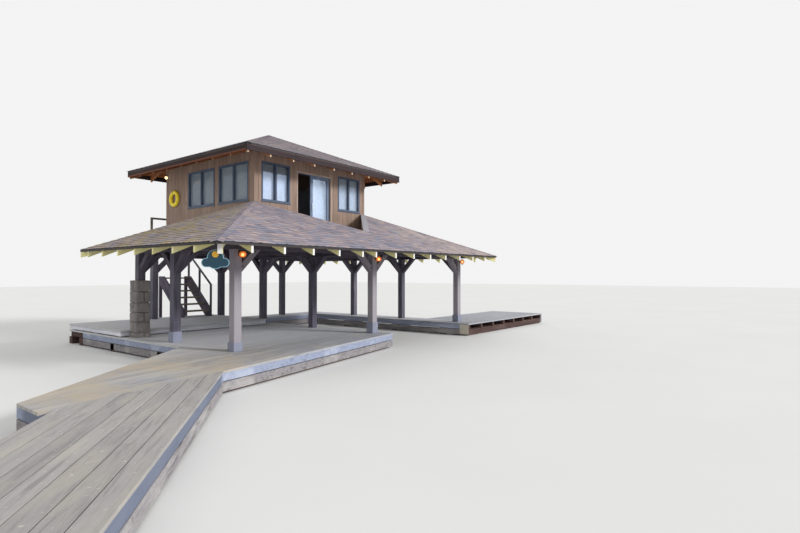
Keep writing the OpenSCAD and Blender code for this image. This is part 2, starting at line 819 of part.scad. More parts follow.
module wall_over_door()
    color([0.5, 0.38, 0.29])
        intersection() {
            wall([door_x0, cab_y0], [door_x1, cab_y0 + wall_t]);
            box([door_x0, cab_y0, z_door], [door_x1, cab_y0 + wall_t, 2 * z_up]);
        }

module side_wall(x)
    color([0.42, 0.3, 0.22])
        difference() {
            wall([x, cab_y0 + wall_t], [x + wall_t, cab_y1 - wall_t]);
            for (y = side_wins)
                box([x - 1, y, z_sill], [x + wall_t + 1, y + side_win_w, z_head]);
        }

module left_wall() side_wall(cab_x0);

module right_wall() side_wall(cab_x1 - wall_t);

module back_wall()
    color([0.42, 0.3, 0.22])
        difference() {
            wall([cab_x0, cab_y1 - wall_t], [cab_x1, cab_y1]);
            for (x = back_wins)
                box([x, cab_y1 - wall_t - 1, z_sill], [x + side_win_w, cab_y1 + 1, z_head]);
            box([back_door_x, cab_y1 - wall_t - 1, z_floor - 1], [back_door_x + back_door_w, cab_y1 + 1, z_door]);
        }

// Windows and doors, drawn facing -Y with the wall's face on the X axis
pane_z = [frame_w, head_h - sill_h - frame_w];

module pair_frame(w)
    difference() {
        box([0, 0, 0], [w, frame_d, head_h - sill_h]);
        box([frame_w, -1, pane_z[0]], [(w - frame_w) / 2, frame_d + 1, pane_z[1]]);
        box([(w + frame_w) / 2, -1, pane_z[0]], [w - frame_w, frame_d + 1, pane_z[1]]);
    }

module pair_panes(w) {
    box([frame_w, pane_back, pane_z[0]], [(w - frame_w) / 2, pane_back + glass_t, pane_z[1]]);
    box([(w + frame_w) / 2, pane_back, pane_z[0]], [w - frame_w, pane_back + glass_t, pane_z[1]]);
}

// Puts a piece drawn for the front into each of the windows' places
module in_windows() {
    for (x = front_wins)
        translate([x, cab_y0, z_sill]) children(0);
    for (y = side_wins) {
        translate([cab_x0, y + side_win_w, z_sill]) rotate([0, 0, -90]) children(1);
        translate([cab_x1, y, z_sill]) rotate([0, 0, 90]) children(1);
    }
    for (x = back_wins)
        translate([x + side_win_w, cab_y1, z_sill]) rotate([0, 0, 180]) children(1);
}

module window_frames()
    color([0.3, 0.34, 0.4])
        in_windows() {
            pair_frame(front_win_w);
            pair_frame(side_win_w);
        }

panel_w = 0.573 * (door_w - 2 * frame_w);
panel_h = z_door - z_floor - frame_w;
fixed_x = door_x1 - frame_w - panel_w;
slider_x = fixed_x - 50;
stile_w = 85;
panel_t = 38;
slider_y = cab_y0 + 14;
fixed_y = slider_y + panel_t + 4;

module window_glass()
    color([0.75, 0.8, 0.85]) {
        in_windows() {
            pair_panes(front_win_w);
            pair_panes(side_win_w);
        }
        panel_pane(slider_x, slider_y);
        panel_pane(fixed_x, fixed_y);
    }

module panel_pane(x, y)
    box([x + stile_w, y + (panel_t - glass_t) / 2, z_floor + stile_w],
        [x + panel_w - stile_w, y + (panel_t + glass_t) / 2, z_floor + panel_h - stile_w]);

module door_panel(x, y)
    difference() {
        box([x, y, z_floor], [x + panel_w, y + panel_t, z_floor + panel_h]);
        box([x + stile_w, y - 1, z_floor + stile_w],
            [x + panel_w - stile_w, y + panel_t + 1, z_floor + panel_h - stile_w]);
    }

module sliding_door()
    color([0.3, 0.34, 0.4])
        door_panel(slider_x, slider_y);

module door_frame()
    color([0.3, 0.34, 0.4]) {
        difference() {
            box([door_x0, cab_y0, z_floor], [door_x1, cab_y0 + wall_t, z_door]);
            box([door_x0 + frame_w, cab_y0 - 1, z_floor - 1], [door_x1 - frame_w, cab_y0 + wall_t + 1,
                z_floor + panel_h]);
        }
        door_panel(fixed_x, fixed_y);
        difference() {
            box([back_door_x, cab_y1 - wall_t, z_floor], [back_door_x + back_door_w, cab_y1, z_door]);
            box([back_door_x + frame_w, cab_y1 - wall_t - 1, z_floor - 1],
                [back_door_x + back_door_w - frame_w, cab_y1 + 1, z_door - frame_w]);
        }
    }

module back_door()
    color([0.34, 0.3, 0.3])
        box([back_door_x + frame_w, cab_y1 - 70, z_floor], [back_door_x + back_door_w - frame_w, cab_y1 - 25,
            z_door - frame_w]);

// Fittings
ring_in = 520;
ring_up = 1348;
lamp_up = 1990;

module life_ring()
    color("gold")
        translate([cab_x0 - ring_t / 2, cab_y1 - ring_in, z_floor + ring_up])
            rotate([0, 90, 0])
                rotate_extrude()
                    translate([(ring_d - ring_t) / 2, 0])
                        circle(d = ring_t);

module lantern(x)
    translate([x + half / 2, row_y[0] - half, z_deck + lamp_up]) {
        rotate([90, 0, 0]) cylinder(d = 90, h = 18);
        box([-12, -110, -10], [12, 0, 12]);
        translate([0, -globe_d / 2 - 22, 0]) cylinder(d = 70, h = 24);
        translate([0, -globe_d / 2 - 22, globe_d / 2 + 10]) sphere(d = globe_d, $fn = 24);
    }

module lanterns()
    color("orange")
        for (x = row_x)
            lantern(x);

// A plain plaque on the back of the corner block, square to the hip, with round
// ends and a domed top
module hanging_board()
    color([0.1, 0.3, 0.36])
        translate([eave_x0, eave_y0, z_block + 80])
            rotate([0, 0, -45])
                translate([-95, block_s[1] + 28, 0])
                    rotate([90, 0, 0])
                        linear_extrude(28) {
                            end_r = 0.235 * plaque_h;
                            dome_r = 0.41 * plaque_h;
                            translate([0, -0.67 * plaque_h]) {
                                square([plaque_w - 2 * end_r, 2 * end_r], center = true);
                                for (s = [-1, 1])
                                    translate([s * (plaque_w / 2 - end_r), 0]) circle(end_r);
                            }
                            translate([0, -dome_r]) circle(dome_r);
                            translate([0, dome_r - plaque_h]) circle(dome_r);
                        }

// Stair, from the platform up the hillside behind
module stringer(x)
    translate([x + stringer_t, 0, 0])
        rotate([0, -90, 0])
            linear_extrude(stringer_t)
                polygon([[z_step, stair_y0 - 60], [z_step + rise + 40, stair_y0 - 60],
                    [z_stair_top + 40, stair_end_y - going], [z_stair_top + 40, stair_end_y],
                    [z_stair_top - 260, stair_end_y], [z_step, stair_y0 + going]]);

module stair_stringers()
    color([0.3, 0.27, 0.25]) {
        stringer(stair_x0);
        stringer(stair_x1 - stringer_t);
        for (x = [stair_x0, stair_x1 - 90])
            box([x, stair_end_y, 0], [x + 90, stair_end_y + 90, z_stair_top + 40]);
    }

module stair_treads()
    color([0.5, 0.48, 0.44])
        for (i = [0:tread_count - 1])
            box([stair_x0 + stringer_t, stair_y0 + i * going - 25, z_step + (i + 1) * rise - tread_t],
                [stair_x1 - stringer_t, stair_y0 + (i + 1) * going, z_step + (i + 1) * rise]);

module stair_rail()
    color([0.6, 0.6, 0.62]) {
        run = tread_count * going;
        lift = tread_count * rise;
        for (f = [0, 0.5, 1])
            box([stair_x1, stair_y0 + f * (run - rail_w), z_step + f * (lift - rise) + (f == 0 ? 0 : 60)],
                [stair_x1 + rail_w, stair_y0 + f * (run - rail_w) + rail_w,
                z_step + rise + f * (lift - rise) + rail_h]);
        translate([stair_x1, stair_y0, z_step + rise + rail_h])
            rising_slab(rail_w, run, (lift - rise) / (run - rail_w), rail_w);
    }

// Landing behind the cabin, at the floor's level, and its rail
landing_y1 = cab_y1 + landing_d;
landing_x1 = verge_x - 20;

module landing()
    color([0.45, 0.42, 0.4])
        box([cab_x0, cab_y1, z_joist], [landing_x1, landing_y1, z_floor]);

module landing_rail()
    color([0.24, 0.21, 0.22]) {
        for (x = [cab_x0, (cab_x0 + landing_x1 - rail_w) / 2, landing_x1 - rail_w])
            box([x, landing_y1 - rail_w, z_floor], [x + rail_w, landing_y1, z_floor + rail_h]);
        for (z = [z_floor + rail_h / 2, z_floor + rail_h - rail_w]) {
            box([cab_x0, landing_y1 - rail_w, z], [landing_x1, landing_y1, z + rail_w]);
            box([landing_x1 - rail_w, cab_y1, z], [landing_x1, landing_y1, z + rail_w]);
        }
    }

left_dock();
walkway();
back_dock();
back_platform();
right_dock();
dock_joists();
dock_sills();
dock_rims();
posts();
post_wraps();
stone_pier();
braces();
cross_beams();
row_beams();
plates();
floor_joists();
cabin_floor();
balcony_floor();
balcony_sides();
balcony_cap();
roof_front();
roof_left();
roof_right();
roof_back();
rafters();
hip_rafters();
front_wall_left();
front_wall_right();
wall_over_door();
left_wall();
right_wall();
back_wall();
window_frames();
window_glass();
door_frame();
sliding_door();
back_door();
upper_roof();
upper_fascia();
rafter_tails();
life_ring();
lanterns();
hanging_board();
stair_stringers();
stair_treads();
stair_rail();
landing();
landing_rail();
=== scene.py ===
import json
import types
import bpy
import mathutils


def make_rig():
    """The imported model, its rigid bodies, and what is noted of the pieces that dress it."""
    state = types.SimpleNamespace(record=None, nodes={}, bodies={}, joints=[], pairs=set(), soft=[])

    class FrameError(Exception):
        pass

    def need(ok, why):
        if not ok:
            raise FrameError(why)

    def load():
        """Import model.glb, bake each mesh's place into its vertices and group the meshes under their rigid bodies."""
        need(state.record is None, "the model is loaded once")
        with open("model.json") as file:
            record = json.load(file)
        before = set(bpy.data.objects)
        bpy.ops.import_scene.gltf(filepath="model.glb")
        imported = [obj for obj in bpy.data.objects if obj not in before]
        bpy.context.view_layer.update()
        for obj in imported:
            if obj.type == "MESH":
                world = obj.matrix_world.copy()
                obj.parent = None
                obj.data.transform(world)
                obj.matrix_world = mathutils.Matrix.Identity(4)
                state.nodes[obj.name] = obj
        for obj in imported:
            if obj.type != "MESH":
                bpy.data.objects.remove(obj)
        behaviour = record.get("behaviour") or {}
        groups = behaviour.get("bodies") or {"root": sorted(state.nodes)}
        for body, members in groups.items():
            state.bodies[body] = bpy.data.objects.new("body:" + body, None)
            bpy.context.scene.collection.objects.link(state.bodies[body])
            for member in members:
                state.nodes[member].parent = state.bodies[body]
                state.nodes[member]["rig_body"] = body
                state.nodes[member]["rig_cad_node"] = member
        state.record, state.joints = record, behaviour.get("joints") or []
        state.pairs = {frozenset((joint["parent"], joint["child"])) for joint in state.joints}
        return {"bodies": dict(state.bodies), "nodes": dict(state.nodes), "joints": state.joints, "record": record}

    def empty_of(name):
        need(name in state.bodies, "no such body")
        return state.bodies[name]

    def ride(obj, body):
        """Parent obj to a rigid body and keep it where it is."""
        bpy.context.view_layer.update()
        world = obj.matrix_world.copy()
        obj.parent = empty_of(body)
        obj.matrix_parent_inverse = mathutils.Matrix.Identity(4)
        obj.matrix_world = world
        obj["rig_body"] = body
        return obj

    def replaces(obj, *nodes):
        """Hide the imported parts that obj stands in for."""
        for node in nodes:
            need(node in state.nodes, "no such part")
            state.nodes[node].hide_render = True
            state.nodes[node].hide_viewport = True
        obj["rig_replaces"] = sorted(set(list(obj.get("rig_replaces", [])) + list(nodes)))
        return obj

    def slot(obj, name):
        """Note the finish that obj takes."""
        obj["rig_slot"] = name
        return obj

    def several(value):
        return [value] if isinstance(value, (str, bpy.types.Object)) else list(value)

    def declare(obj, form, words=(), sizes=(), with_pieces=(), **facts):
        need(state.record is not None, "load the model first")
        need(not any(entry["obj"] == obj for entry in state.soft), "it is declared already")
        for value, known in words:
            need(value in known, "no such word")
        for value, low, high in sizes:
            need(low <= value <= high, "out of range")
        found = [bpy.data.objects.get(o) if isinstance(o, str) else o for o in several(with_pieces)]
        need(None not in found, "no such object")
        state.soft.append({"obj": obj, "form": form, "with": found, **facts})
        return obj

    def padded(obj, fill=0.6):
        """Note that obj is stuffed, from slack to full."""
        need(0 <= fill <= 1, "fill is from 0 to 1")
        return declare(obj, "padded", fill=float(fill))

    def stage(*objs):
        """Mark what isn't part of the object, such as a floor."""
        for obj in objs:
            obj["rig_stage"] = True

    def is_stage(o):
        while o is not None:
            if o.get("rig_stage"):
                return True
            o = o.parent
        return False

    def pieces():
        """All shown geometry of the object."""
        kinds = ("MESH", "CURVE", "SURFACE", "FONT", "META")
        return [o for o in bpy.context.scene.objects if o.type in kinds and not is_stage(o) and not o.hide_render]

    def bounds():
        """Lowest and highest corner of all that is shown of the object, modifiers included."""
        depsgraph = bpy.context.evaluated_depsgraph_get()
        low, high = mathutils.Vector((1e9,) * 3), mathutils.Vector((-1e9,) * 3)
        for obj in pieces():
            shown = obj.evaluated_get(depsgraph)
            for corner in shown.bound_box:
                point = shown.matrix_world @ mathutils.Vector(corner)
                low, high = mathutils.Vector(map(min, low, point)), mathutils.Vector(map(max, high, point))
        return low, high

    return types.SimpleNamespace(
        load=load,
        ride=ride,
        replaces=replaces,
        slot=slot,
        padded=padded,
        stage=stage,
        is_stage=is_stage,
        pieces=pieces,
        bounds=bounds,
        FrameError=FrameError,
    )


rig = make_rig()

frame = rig.load()
cad_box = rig.bounds()
import json
import math
import random
import bmesh
import bpy
import numpy as np
from mathutils import Matrix, Vector, noise

MM = 0.001
UP = Vector((0, 0, 1))
nodes = frame["nodes"]
scene = bpy.context.scene


def added(name, data):
    """A new object in the scene."""
    item = bpy.data.objects.new(name, data)
    scene.collection.objects.link(item)
    return item


# Camera, where the photograph was taken from
FOCAL_PX, PHOTO_W = 530.74, 800
SENSOR = 36
EYE = (-6.7917, -9.7702, 2.05)
AHEAD = (0.788, 0.615)
RISE = math.radians(0.7955)
cam_data = bpy.data.cameras.new("camera")
cam_data.sensor_width = SENSOR
cam_data.lens = FOCAL_PX / PHOTO_W * SENSOR
cam = added("camera", cam_data)
cam.location = EYE
look = Vector((AHEAD[0] * math.cos(RISE), AHEAD[1] * math.cos(RISE), math.sin(RISE)))
cam.rotation_euler = look.to_track_quat("-Z", "Y").to_euler()
scene.camera = cam
scene.view_settings.view_transform = "Standard"


# Node trees
def srgb(text):
    """The linear colour a shader takes, from the six hex digits of a colour as seen."""
    parts = [value / 255 for value in bytes.fromhex(text)]
    return (*(c / 12.92 if c <= 0.04045 else ((c + 0.055) / 1.055) ** 2.4 for c in parts), 1)


def feed(item, sockets):
    """Fill a node's inputs with values, colours in hex or other nodes' outputs."""
    for key, value in sockets.items():
        value = getattr(value, "socket", value)
        socket = item.inputs[key]
        if isinstance(value, bpy.types.NodeSocket):
            item.id_data.links.new(value, socket)
        else:
            socket.default_value = srgb(value) if socket.type == "RGBA" and isinstance(value, str) else value
    return item


def put(tree, kind, sockets=(), **settings):
    """Add a node, set its properties and fill its inputs; gives its outputs."""
    item = tree.nodes.new(kind)
    for key, value in settings.items():
        setattr(item, key, value)
    return feed(item, dict(sockets)).outputs


class Number:
    """A number in a node tree, which is worked with like a plain one."""

    def __init__(self, socket):
        self.socket = socket
        self.tree = socket.id_data

    def math(self, operation, a, b=0.0):
        return Number(put(self.tree, "ShaderNodeMath", {0: a, 1: b}, operation=operation)[0])

    def ramp(self, low, high):
        """0 below low, 1 above high, smooth between."""
        return Number(put(self.tree, "ShaderNodeMapRange", {0: self, 1: low, 2: high},
                          interpolation_type="SMOOTHSTEP")[0])

    def blend(self, a, b):
        """The colour a where the number is 0, and b where it is 1."""
        return put(self.tree, "ShaderNodeMix", {0: self, 6: a, 7: b}, data_type="RGBA")[2]

    def __add__(self, other):
        return self.math("ADD", self, other)

    def __sub__(self, other):
        return self.math("SUBTRACT", self, other)

    def __rsub__(self, other):
        return self.math("SUBTRACT", other, self)

    def __mul__(self, other):
        return self.math("MULTIPLY", self, other)

    def __truediv__(self, other):
        return self.math("DIVIDE", self, other)

    def __rtruediv__(self, other):
        return self.math("DIVIDE", other, self)

    def __lt__(self, other):
        return self.math("LESS_THAN", self, other)

    def __gt__(self, other):
        return self.math("GREATER_THAN", self, other)

    def __abs__(self):
        return self.math("ABSOLUTE", self)

    def __ceil__(self):
        return self.math("CEIL", self)

    def __round__(self):
        return self.math("ROUND", self)


def vector_of(tree, x=0.0, y=0.0, z=0.0):
    return put(tree, "ShaderNodeCombineXYZ", {0: x, 1: y, 2: z})[0]


def axes_of(vector):
    return [Number(part) for part in put(vector.id_data, "ShaderNodeSeparateXYZ", {0: vector})]


def scaled(vector, scale):
    return put(vector.id_data, "ShaderNodeVectorMath", {0: vector, 1: scale}, operation="MULTIPLY")[0]


def noise_of(vector, scale, detail=4.0, rough=0.55, warp=0.0):
    sockets = {"Vector": vector, "Scale": scale, "Detail": detail, "Roughness": rough, "Distortion": warp}
    return Number(put(vector.id_data, "ShaderNodeTexNoise", sockets)["Fac"])


def new_group(kind, name, ins, outs):
    """An empty node group; gives it with its inputs by name and the node for its outputs."""
    group = bpy.data.node_groups.new(name, kind)
    for way, sockets in (("INPUT", ins), ("OUTPUT", outs)):
        for label, socket in sockets.items():
            group.interface.new_socket(label, in_out=way, socket_type="NodeSocket" + socket)
    given = group.nodes.new("NodeGroupInput").outputs
    given = {label: Number(given[label]) if ins[label] in ("Float", "Int") else given[label] for label in ins}
    return group, given, group.nodes.new("NodeGroupOutput")


def build_timber_grain():
    """Long streaks and fine fibres that follow each board, with a shade of its own for each."""
    group, given, out = new_group(
        "ShaderNodeTree", "timber grain",
        {"Grain": "Vector", "Tone": "Float", "Base": "Color", "Dark": "Color", "Pale": "Color",
         "Spread": "Float"},
        {"Color": "Color", "Height": "Float"})
    tone = given["Tone"]
    shift = vector_of(group, tone * 37.0, tone * 11.3, tone * 5.1)
    place = put(group, "ShaderNodeVectorMath", {0: given["Grain"], 1: shift})[0]
    streak = noise_of(scaled(place, (1.3, 17, 17)), 1.0, 5.0, 0.62, 0.7)
    fibre = noise_of(scaled(place, (5, 150, 150)), 1.0, 2.0, 0.5)
    broad = noise_of(scaled(place, (0.8, 3.5, 3.5)), 1.0, 3.0, 0.5)
    colour = (streak.ramp(0.46, 0.72) * 0.8).blend(given["Base"], given["Dark"])
    colour = (broad.ramp(0.48, 0.7) * 0.75).blend(colour, given["Pale"])
    colour = (fibre.ramp(0.48, 0.72) * 0.42).blend(colour, given["Dark"])
    value = (tone - 0.5) * given["Spread"] + 1.0
    shade = put(group, "ShaderNodeHueSaturation", {"Value": value, "Color": colour})
    feed(out, {"Color": shade[0], "Height": streak * -0.6 + fibre * -0.4})
    return group


def build_weathering():
    """Patches where a finish has worn, bleached or grown over."""
    group, given, out = new_group(
        "ShaderNodeTree", "weathering",
        {"Color": "Color", "Place": "Vector", "Worn": "Color", "Amount": "Float", "Size": "Float"},
        {"Color": "Color", "Mask": "Float"})
    coarse = noise_of(given["Place"], 1.0 / given["Size"], 8.0, 0.68)
    start = given["Amount"] * -0.42 + 0.72
    mask = coarse.ramp(start, start + 0.13)
    feed(out, {"Color": (mask * 0.9).blend(given["Color"], given["Worn"]), "Mask": mask})
    return group


GRAIN = build_timber_grain()
WEAR = build_weathering()


def new_finish(name):
    """A new material; gives it with its tree, its surface shader and the place on the piece."""
    material = bpy.data.materials.new(name)
    material.use_nodes = True
    tree = material.node_tree
    return material, tree, tree.nodes["Principled BSDF"], put(tree, "ShaderNodeTexCoord")["Object"]


def reading(tree, name):
    return put(tree, "ShaderNodeAttribute", attribute_name=name)


def tone_of(tree, name="tone"):
    return Number(reading(tree, name)["Fac"])


def bump_of(height, strength, distance):
    sockets = {"Height": height, "Strength": strength, "Distance": distance}
    return put(height.tree, "ShaderNodeBump", sockets)[0]


def worn_by(colour, place, worn, amount, size):
    """The weathering over a colour; gives the new colour and where it has worn."""
    sockets = {"Color": colour, "Place": place, "Worn": worn, "Amount": amount, "Size": size}
    outs = put(place.id_data, "ShaderNodeGroup", sockets, node_tree=WEAR)
    return outs["Color"], Number(outs["Mask"])


def grained(tree, base, dark, pale, spread):
    """The timber grain in three shades; gives its colour and its height."""
    sockets = {"Grain": reading(tree, "grain")["Vector"], "Tone": tone_of(tree), "Base": base, "Dark": dark,
               "Pale": pale, "Spread": spread}
    outs = put(tree, "ShaderNodeGroup", sockets, node_tree=GRAIN)
    return outs["Color"], Number(outs["Height"])


def timber(name, shades, amount=0.35, size=0.5, spread=0.3, rough=0.78, relief=1.6, ends=None, drips=0.0,
           fade=None):
    """A sawn board or beam in a base, a dark, a pale and a worn shade: grain, patches and painted ends."""
    material, tree, shader, place = new_finish(name)
    base, dark, pale, worn = shades.split()
    colour, height = grained(tree, base, dark, pale, spread)
    colour, mask = worn_by(colour, place, worn, amount, size)
    if drips:
        colour, _ = worn_by(colour, scaled(place, (7, 7, 0.5)), dark, drips, 1.0)
    if ends:
        colour = tone_of(tree, "end").blend(colour, ends)
    if fade:
        colour = fade(colour, place)
    feed(shader, {"Base Color": colour, "Roughness": mask * 0.12 + rough, "Specular IOR Level": 0.3,
                  "Normal": bump_of(height, 0.5, relief * MM)})
    return material


def painted(name, shades, amount=0.2, size=0.4, rough=0.5, metallic=0.0, relief=0.6, mottle=0.25, glow=0.0):
    """Paint or metal in its own, a worn and a dark shade: scuffed patches and a slightly uneven surface."""
    material, tree, shader, place = new_finish(name)
    own, worn, dark = shades.split()
    shade = (noise_of(place, 3.0, 5.0, 0.6).ramp(0.4, 0.7) * mottle).blend(own, dark)
    shade, mask = worn_by(shade, place, worn, amount, size)
    feed(shader, {"Base Color": shade, "Roughness": mask * 0.2 + rough, "Metallic": metallic,
                  "Normal": bump_of(noise_of(place, 90.0, 3.0, 0.6), 0.35, relief * MM)})
    # A glow: the lamp bulbs' own light, and painted light on the blinds.
    if glow:
        feed(shader, {"Emission Color": shade, "Emission Strength": glow})
    return material


def shingled(name, blends, worn, amount, size, fade=None):
    """Roof shingles: one of several blends for each tab, granules, and a dark band at the top of each exposed tab,
    partly the shingles' own band and partly painted shade under the next row's edge.
    """
    material, tree, shader, place = new_finish(name)
    blends = [srgb(blend) for blend in blends.split()]
    tab = tree.nodes.new("ShaderNodeValToRGB")
    steps = tab.color_ramp.elements
    steps[0].color, steps[1].color = blends[0], blends[-1]
    for index, blend in enumerate(blends[1:-1], 1):
        steps.new(index / (len(blends) - 1)).color = blend
    feed(tab, {"Fac": tone_of(tree)})
    grains = noise_of(place, 260.0, 2.0, 0.7)
    colour = (grains.ramp(0.4, 0.75) * 0.25).blend(tab.outputs[0], "342e32")
    # Dark band at the top of each exposed tab: the shingles' own band, and painted shade under the next row.
    upward = axes_of(reading(tree, "grain")["Vector"])[1]
    colour = (upward.ramp(0.09, 0.15) * 0.4).blend(colour, "40383c")
    colour, _ = worn_by(colour, place, worn, amount, size)
    if fade:
        colour = fade(colour, place)
    feed(shader, {"Base Color": colour, "Roughness": 0.92, "Specular IOR Level": 0.2,
                  "Normal": bump_of(grains, 0.6, 1.5 * MM)})
    return material


# Finishes: the shades of each are hex digits, in the order that its function names them
ROOF_END_X = 9.36
WALK_RIM_Y = (-2.1, -1.84)
BRACE_FOOT_Z, BRACE_HEAD_Z = 1.3, 2.2
LEFT_EAVE_X, LEFT_EAVE_Y = 1.5, 1.1
RED_BAND_TOP_Z, RED_BAND_FADE_Z = 5.105, 5.12
POSTS_X0, POSTS_Y0, POSTS_X1, POSTS_Y1 = -0.1, -0.1, 9.03, 7.39
LEFT_TIPS_X, LEFT_TIPS_Y = -1.15, -1.0


def shaded_bay(colour, place):
    """Painted shade: the walkway's rims are darker and bluer than those of the dock, as the trees' shade falls on
    them.
    """
    beyond = 1.0 - axes_of(place)[1].ramp(*WALK_RIM_Y)
    return (beyond * 0.8).blend(colour, "5a6276")


def dock_tints_and_painted_light(colour, place):
    """Boards warm by the walkway and bluish by the slip, and paler under the roof: painted light against the roof's
    shade.
    """
    along, inward, _ = axes_of(place)
    near = 1.0 - along.ramp(-1.4, 0.9)
    cloud = noise_of(place, 1.1, 5.0, 0.65).ramp(0.32, 0.62)
    colour = (near * cloud * 0.55).blend(colour, "c4b292")
    colour = (along.ramp(0.4, 2.6) * 0.2).blend(colour, "a6b2c4")
    # Painted light: the boards under the roof are lightened where the roof's shade falls.
    lit_under_roof = inward.ramp(-0.3, 1.2) * (along < ROOF_END_X)
    return (lit_under_roof * 0.5).blend(colour, "dadce2")


def lit_front(colour, place):
    """Painted light: the front row is lighter, most of all below the braces, where light falls on it; the rows behind
    stay in shade.
    """
    _, inward, height = axes_of(place)
    front = 1.0 - inward.ramp(0.05, 0.4)
    low = height.ramp(BRACE_FOOT_Z, BRACE_HEAD_Z) * -0.36 + 0.72
    return (front * low).blend(colour, "aea8ae")


def on_left_eave(place):
    """Where a piece hangs at the upper roof's left eave."""
    x, y, _ = axes_of(place)
    return (x < LEFT_EAVE_X) * (y > LEFT_EAVE_Y)


def shaded_left_tips(colour, place):
    """Painted shade: the tails' tips at the left eave are painted dark brown in place of their pale ends, as they lie
    in shade.
    """
    return (on_left_eave(place) * 0.8).blend(colour, "784c32")


def shaded_left_fascia(colour, place):
    """Painted shade: the left fascia is darker than the front one, as it lies in shade; a red-brown band runs along
    its lower edge.
    """
    left = on_left_eave(place)
    colour = (left * 0.65).blend(colour, "2a1f20")
    low = 1.0 - axes_of(place)[2].ramp(RED_BAND_TOP_Z, RED_BAND_FADE_Z)
    return (left * low * 0.85).blend(colour, "76462e")


def mossy_hip(colour, place):
    """The left slope is paler beside its hip, and soft moss has grown on it."""
    x, y, _ = axes_of(place)
    near = 1.0 - abs(x - y).ramp(0.1, 1.3)
    cloud = noise_of(place, 2.2, 5.0, 0.6).ramp(0.35, 0.65)
    colour = (near * cloud * 0.5).blend(colour, "b6aca4")
    growth = noise_of(place, 1.9, 7.0, 0.74).ramp(0.4, 0.6)
    specks = noise_of(place, 13.0, 4.0, 0.7).ramp(0.26, 0.56)
    away = near * -0.6 + 1.0
    return (growth * specks * away * 0.85).blend(colour, "9e8f60")


def sunlit_right_end(colour, place):
    """Painted light: the lower roof is paler and warmer towards its right end, where sun falls on it."""
    far = axes_of(place)[0].ramp(4.2, 7.6)
    cool = noise_of(place, 3.4, 5.0, 0.66).ramp(0.46, 0.66)
    colour = (cool * 0.4).blend(colour, "808496")
    cloud = noise_of(place, 1.6, 5.0, 0.65).ramp(0.3, 0.7)
    return (far * cloud * 0.6).blend(colour, "ccbaac")


dock_wood = timber("dock boards", "a8a8ac 808086 bcb8b2 bab2a4", 0.3, 1.1, 0.16, fade=dock_tints_and_painted_light)
walk_wood = timber("walkway boards", "aaa7a5 8a8686 b8b2aa d4cec4", 0.3, 0.06, 0.18, relief=2.4)
edge_wood = timber("rim tops", "a0a0a8 6c6c76 bcbcc6 827c7c", 0.3, 0.5, 0.16)
band_paint = timber("rim paint", "98a1b8 6e758a bac1d3 d8d9dc", 0.16, 0.1, 0.12, rough=0.6, relief=2.2,
                    drips=0.2, fade=shaded_bay)
rim_wood = timber("dock rims", "969294 544e52 bab6b4 5c5454", 0.3, 0.1, 0.25, relief=3.0)
crib_wood = timber("crib timbers", "563f3a 302524 705a54 3c3230", 0.4, 0.4, 0.35)
post_wood = timber("posts", "656270 464451 7c7782 575564", 0.4, 0.6, 0.2, ends="50484e", drips=0.25,
                   fade=lit_front)
brace_wood = timber("braces", "5a5462 383440 746c7a 46404d", 0.35, 0.4, 0.25, fade=lit_front)
beam_wood = timber("beams", "4a4552 302d37 605966 3a3641", 0.35, 0.5, 0.25)
deck_under = timber("roof boards", "463a38 2c2526 5c4c46 3a302e", 0.3, 0.6, 0.4)
soffit_wood = timber("soffit boards", "9e6038 704028 b67648 784830", 0.3, 0.6, 0.3)
tail_wood = timber("upper tails", "b67a4e 825236 ce9666 8c5c3e", 0.3, 0.4, 0.25, ends="d0baa0",
                   fade=shaded_left_tips)
fascia_wood = timber("upper fascia", "372b2e 261e21 493a3e 2e2427", 0.3, 0.7, 0.15, fade=shaded_left_fascia)
siding_wood = timber("siding", "9a8476 7c675b a99282 887467", 0.3, 0.9, 0.1, drips=0.14)
floor_wood = timber("floor boards", "8a684a 604632 a4805e 785c44", 0.3, 0.6, 0.3)
step_wood = timber("stair timber", "80786c 524c46 a29886 665f56", 0.4, 0.5, 0.3)
casing_paint = timber("pale casing", "b4a296 9a887e c4b2a6 9e8c84", 0.25, 0.4, 0.08, relief=0.6)
slate_paint = timber("slate paint", "546176 3c4658 66748a 445062", 0.25, 0.4, 0.1, rough=0.5, relief=0.6)
door_blue = timber("door paint", "707f98 566278 8292ac 606d82", 0.25, 0.4, 0.08, rough=0.45, relief=0.5)
# Painted light: the white blinds glow a little and the door's blind more, standing in for the daylight on them.
blind_white_glow = painted("window blinds", "d0def6 becce4 b6c7e2", 0.1, 0.6, 0.6, glow=0.16)
blind_lit = painted("door blind", "d6e4f8 c8d6ea c0cfe6", 0.1, 0.6, 0.6, glow=0.7)
blind_grey = painted("shaded blinds", "969ca0 7e848a 80888e", 0.2, 0.5, 0.6)
lining_paint = painted("wall lining", "968470 827060 847262", 0.2, 0.8, 0.7)
wrap_finish = painted("post wraps", "8a8ea2 767684 74788c", 0.35, 0.2, 0.55)
cap_finish = painted("cheek cap", "9c9aa0 7a7476 868288", 0.4, 0.25, 0.6)
felt = painted("roof edge metal", "242125 383234 1c1a1e", 0.25, 0.3, 0.6)
steel = painted("bolts", "605c5e 705242 464448", 0.4, 0.05, 0.45, 0.8)
rail_steel = painted("stair rail metal", "484c54 685448 363a42", 0.25, 0.2, 0.45, 0.5)
lamp_metal = painted("lamp metal", "322c2c 5c4a3c 242022", 0.25, 0.1, 0.4, 0.7)
handle_white = painted("handle", "e2e6ea bec2c8 ced2d8", 0.15, 0.1, 0.35)
ring_yellow = painted("ring shell", "ffe636 f4d02c f8d82c", 0.25, 0.15, 0.45)
step_front = timber("step front", "dee0e8 b0b4be f0f0f4 bab6b4", 0.3, 0.3, 0.1, relief=1.0)
guard_paint = timber("guard board", "cec6b6 a8a092 e2dcce bcb2a0", 0.3, 0.3, 0.1, relief=1.0)
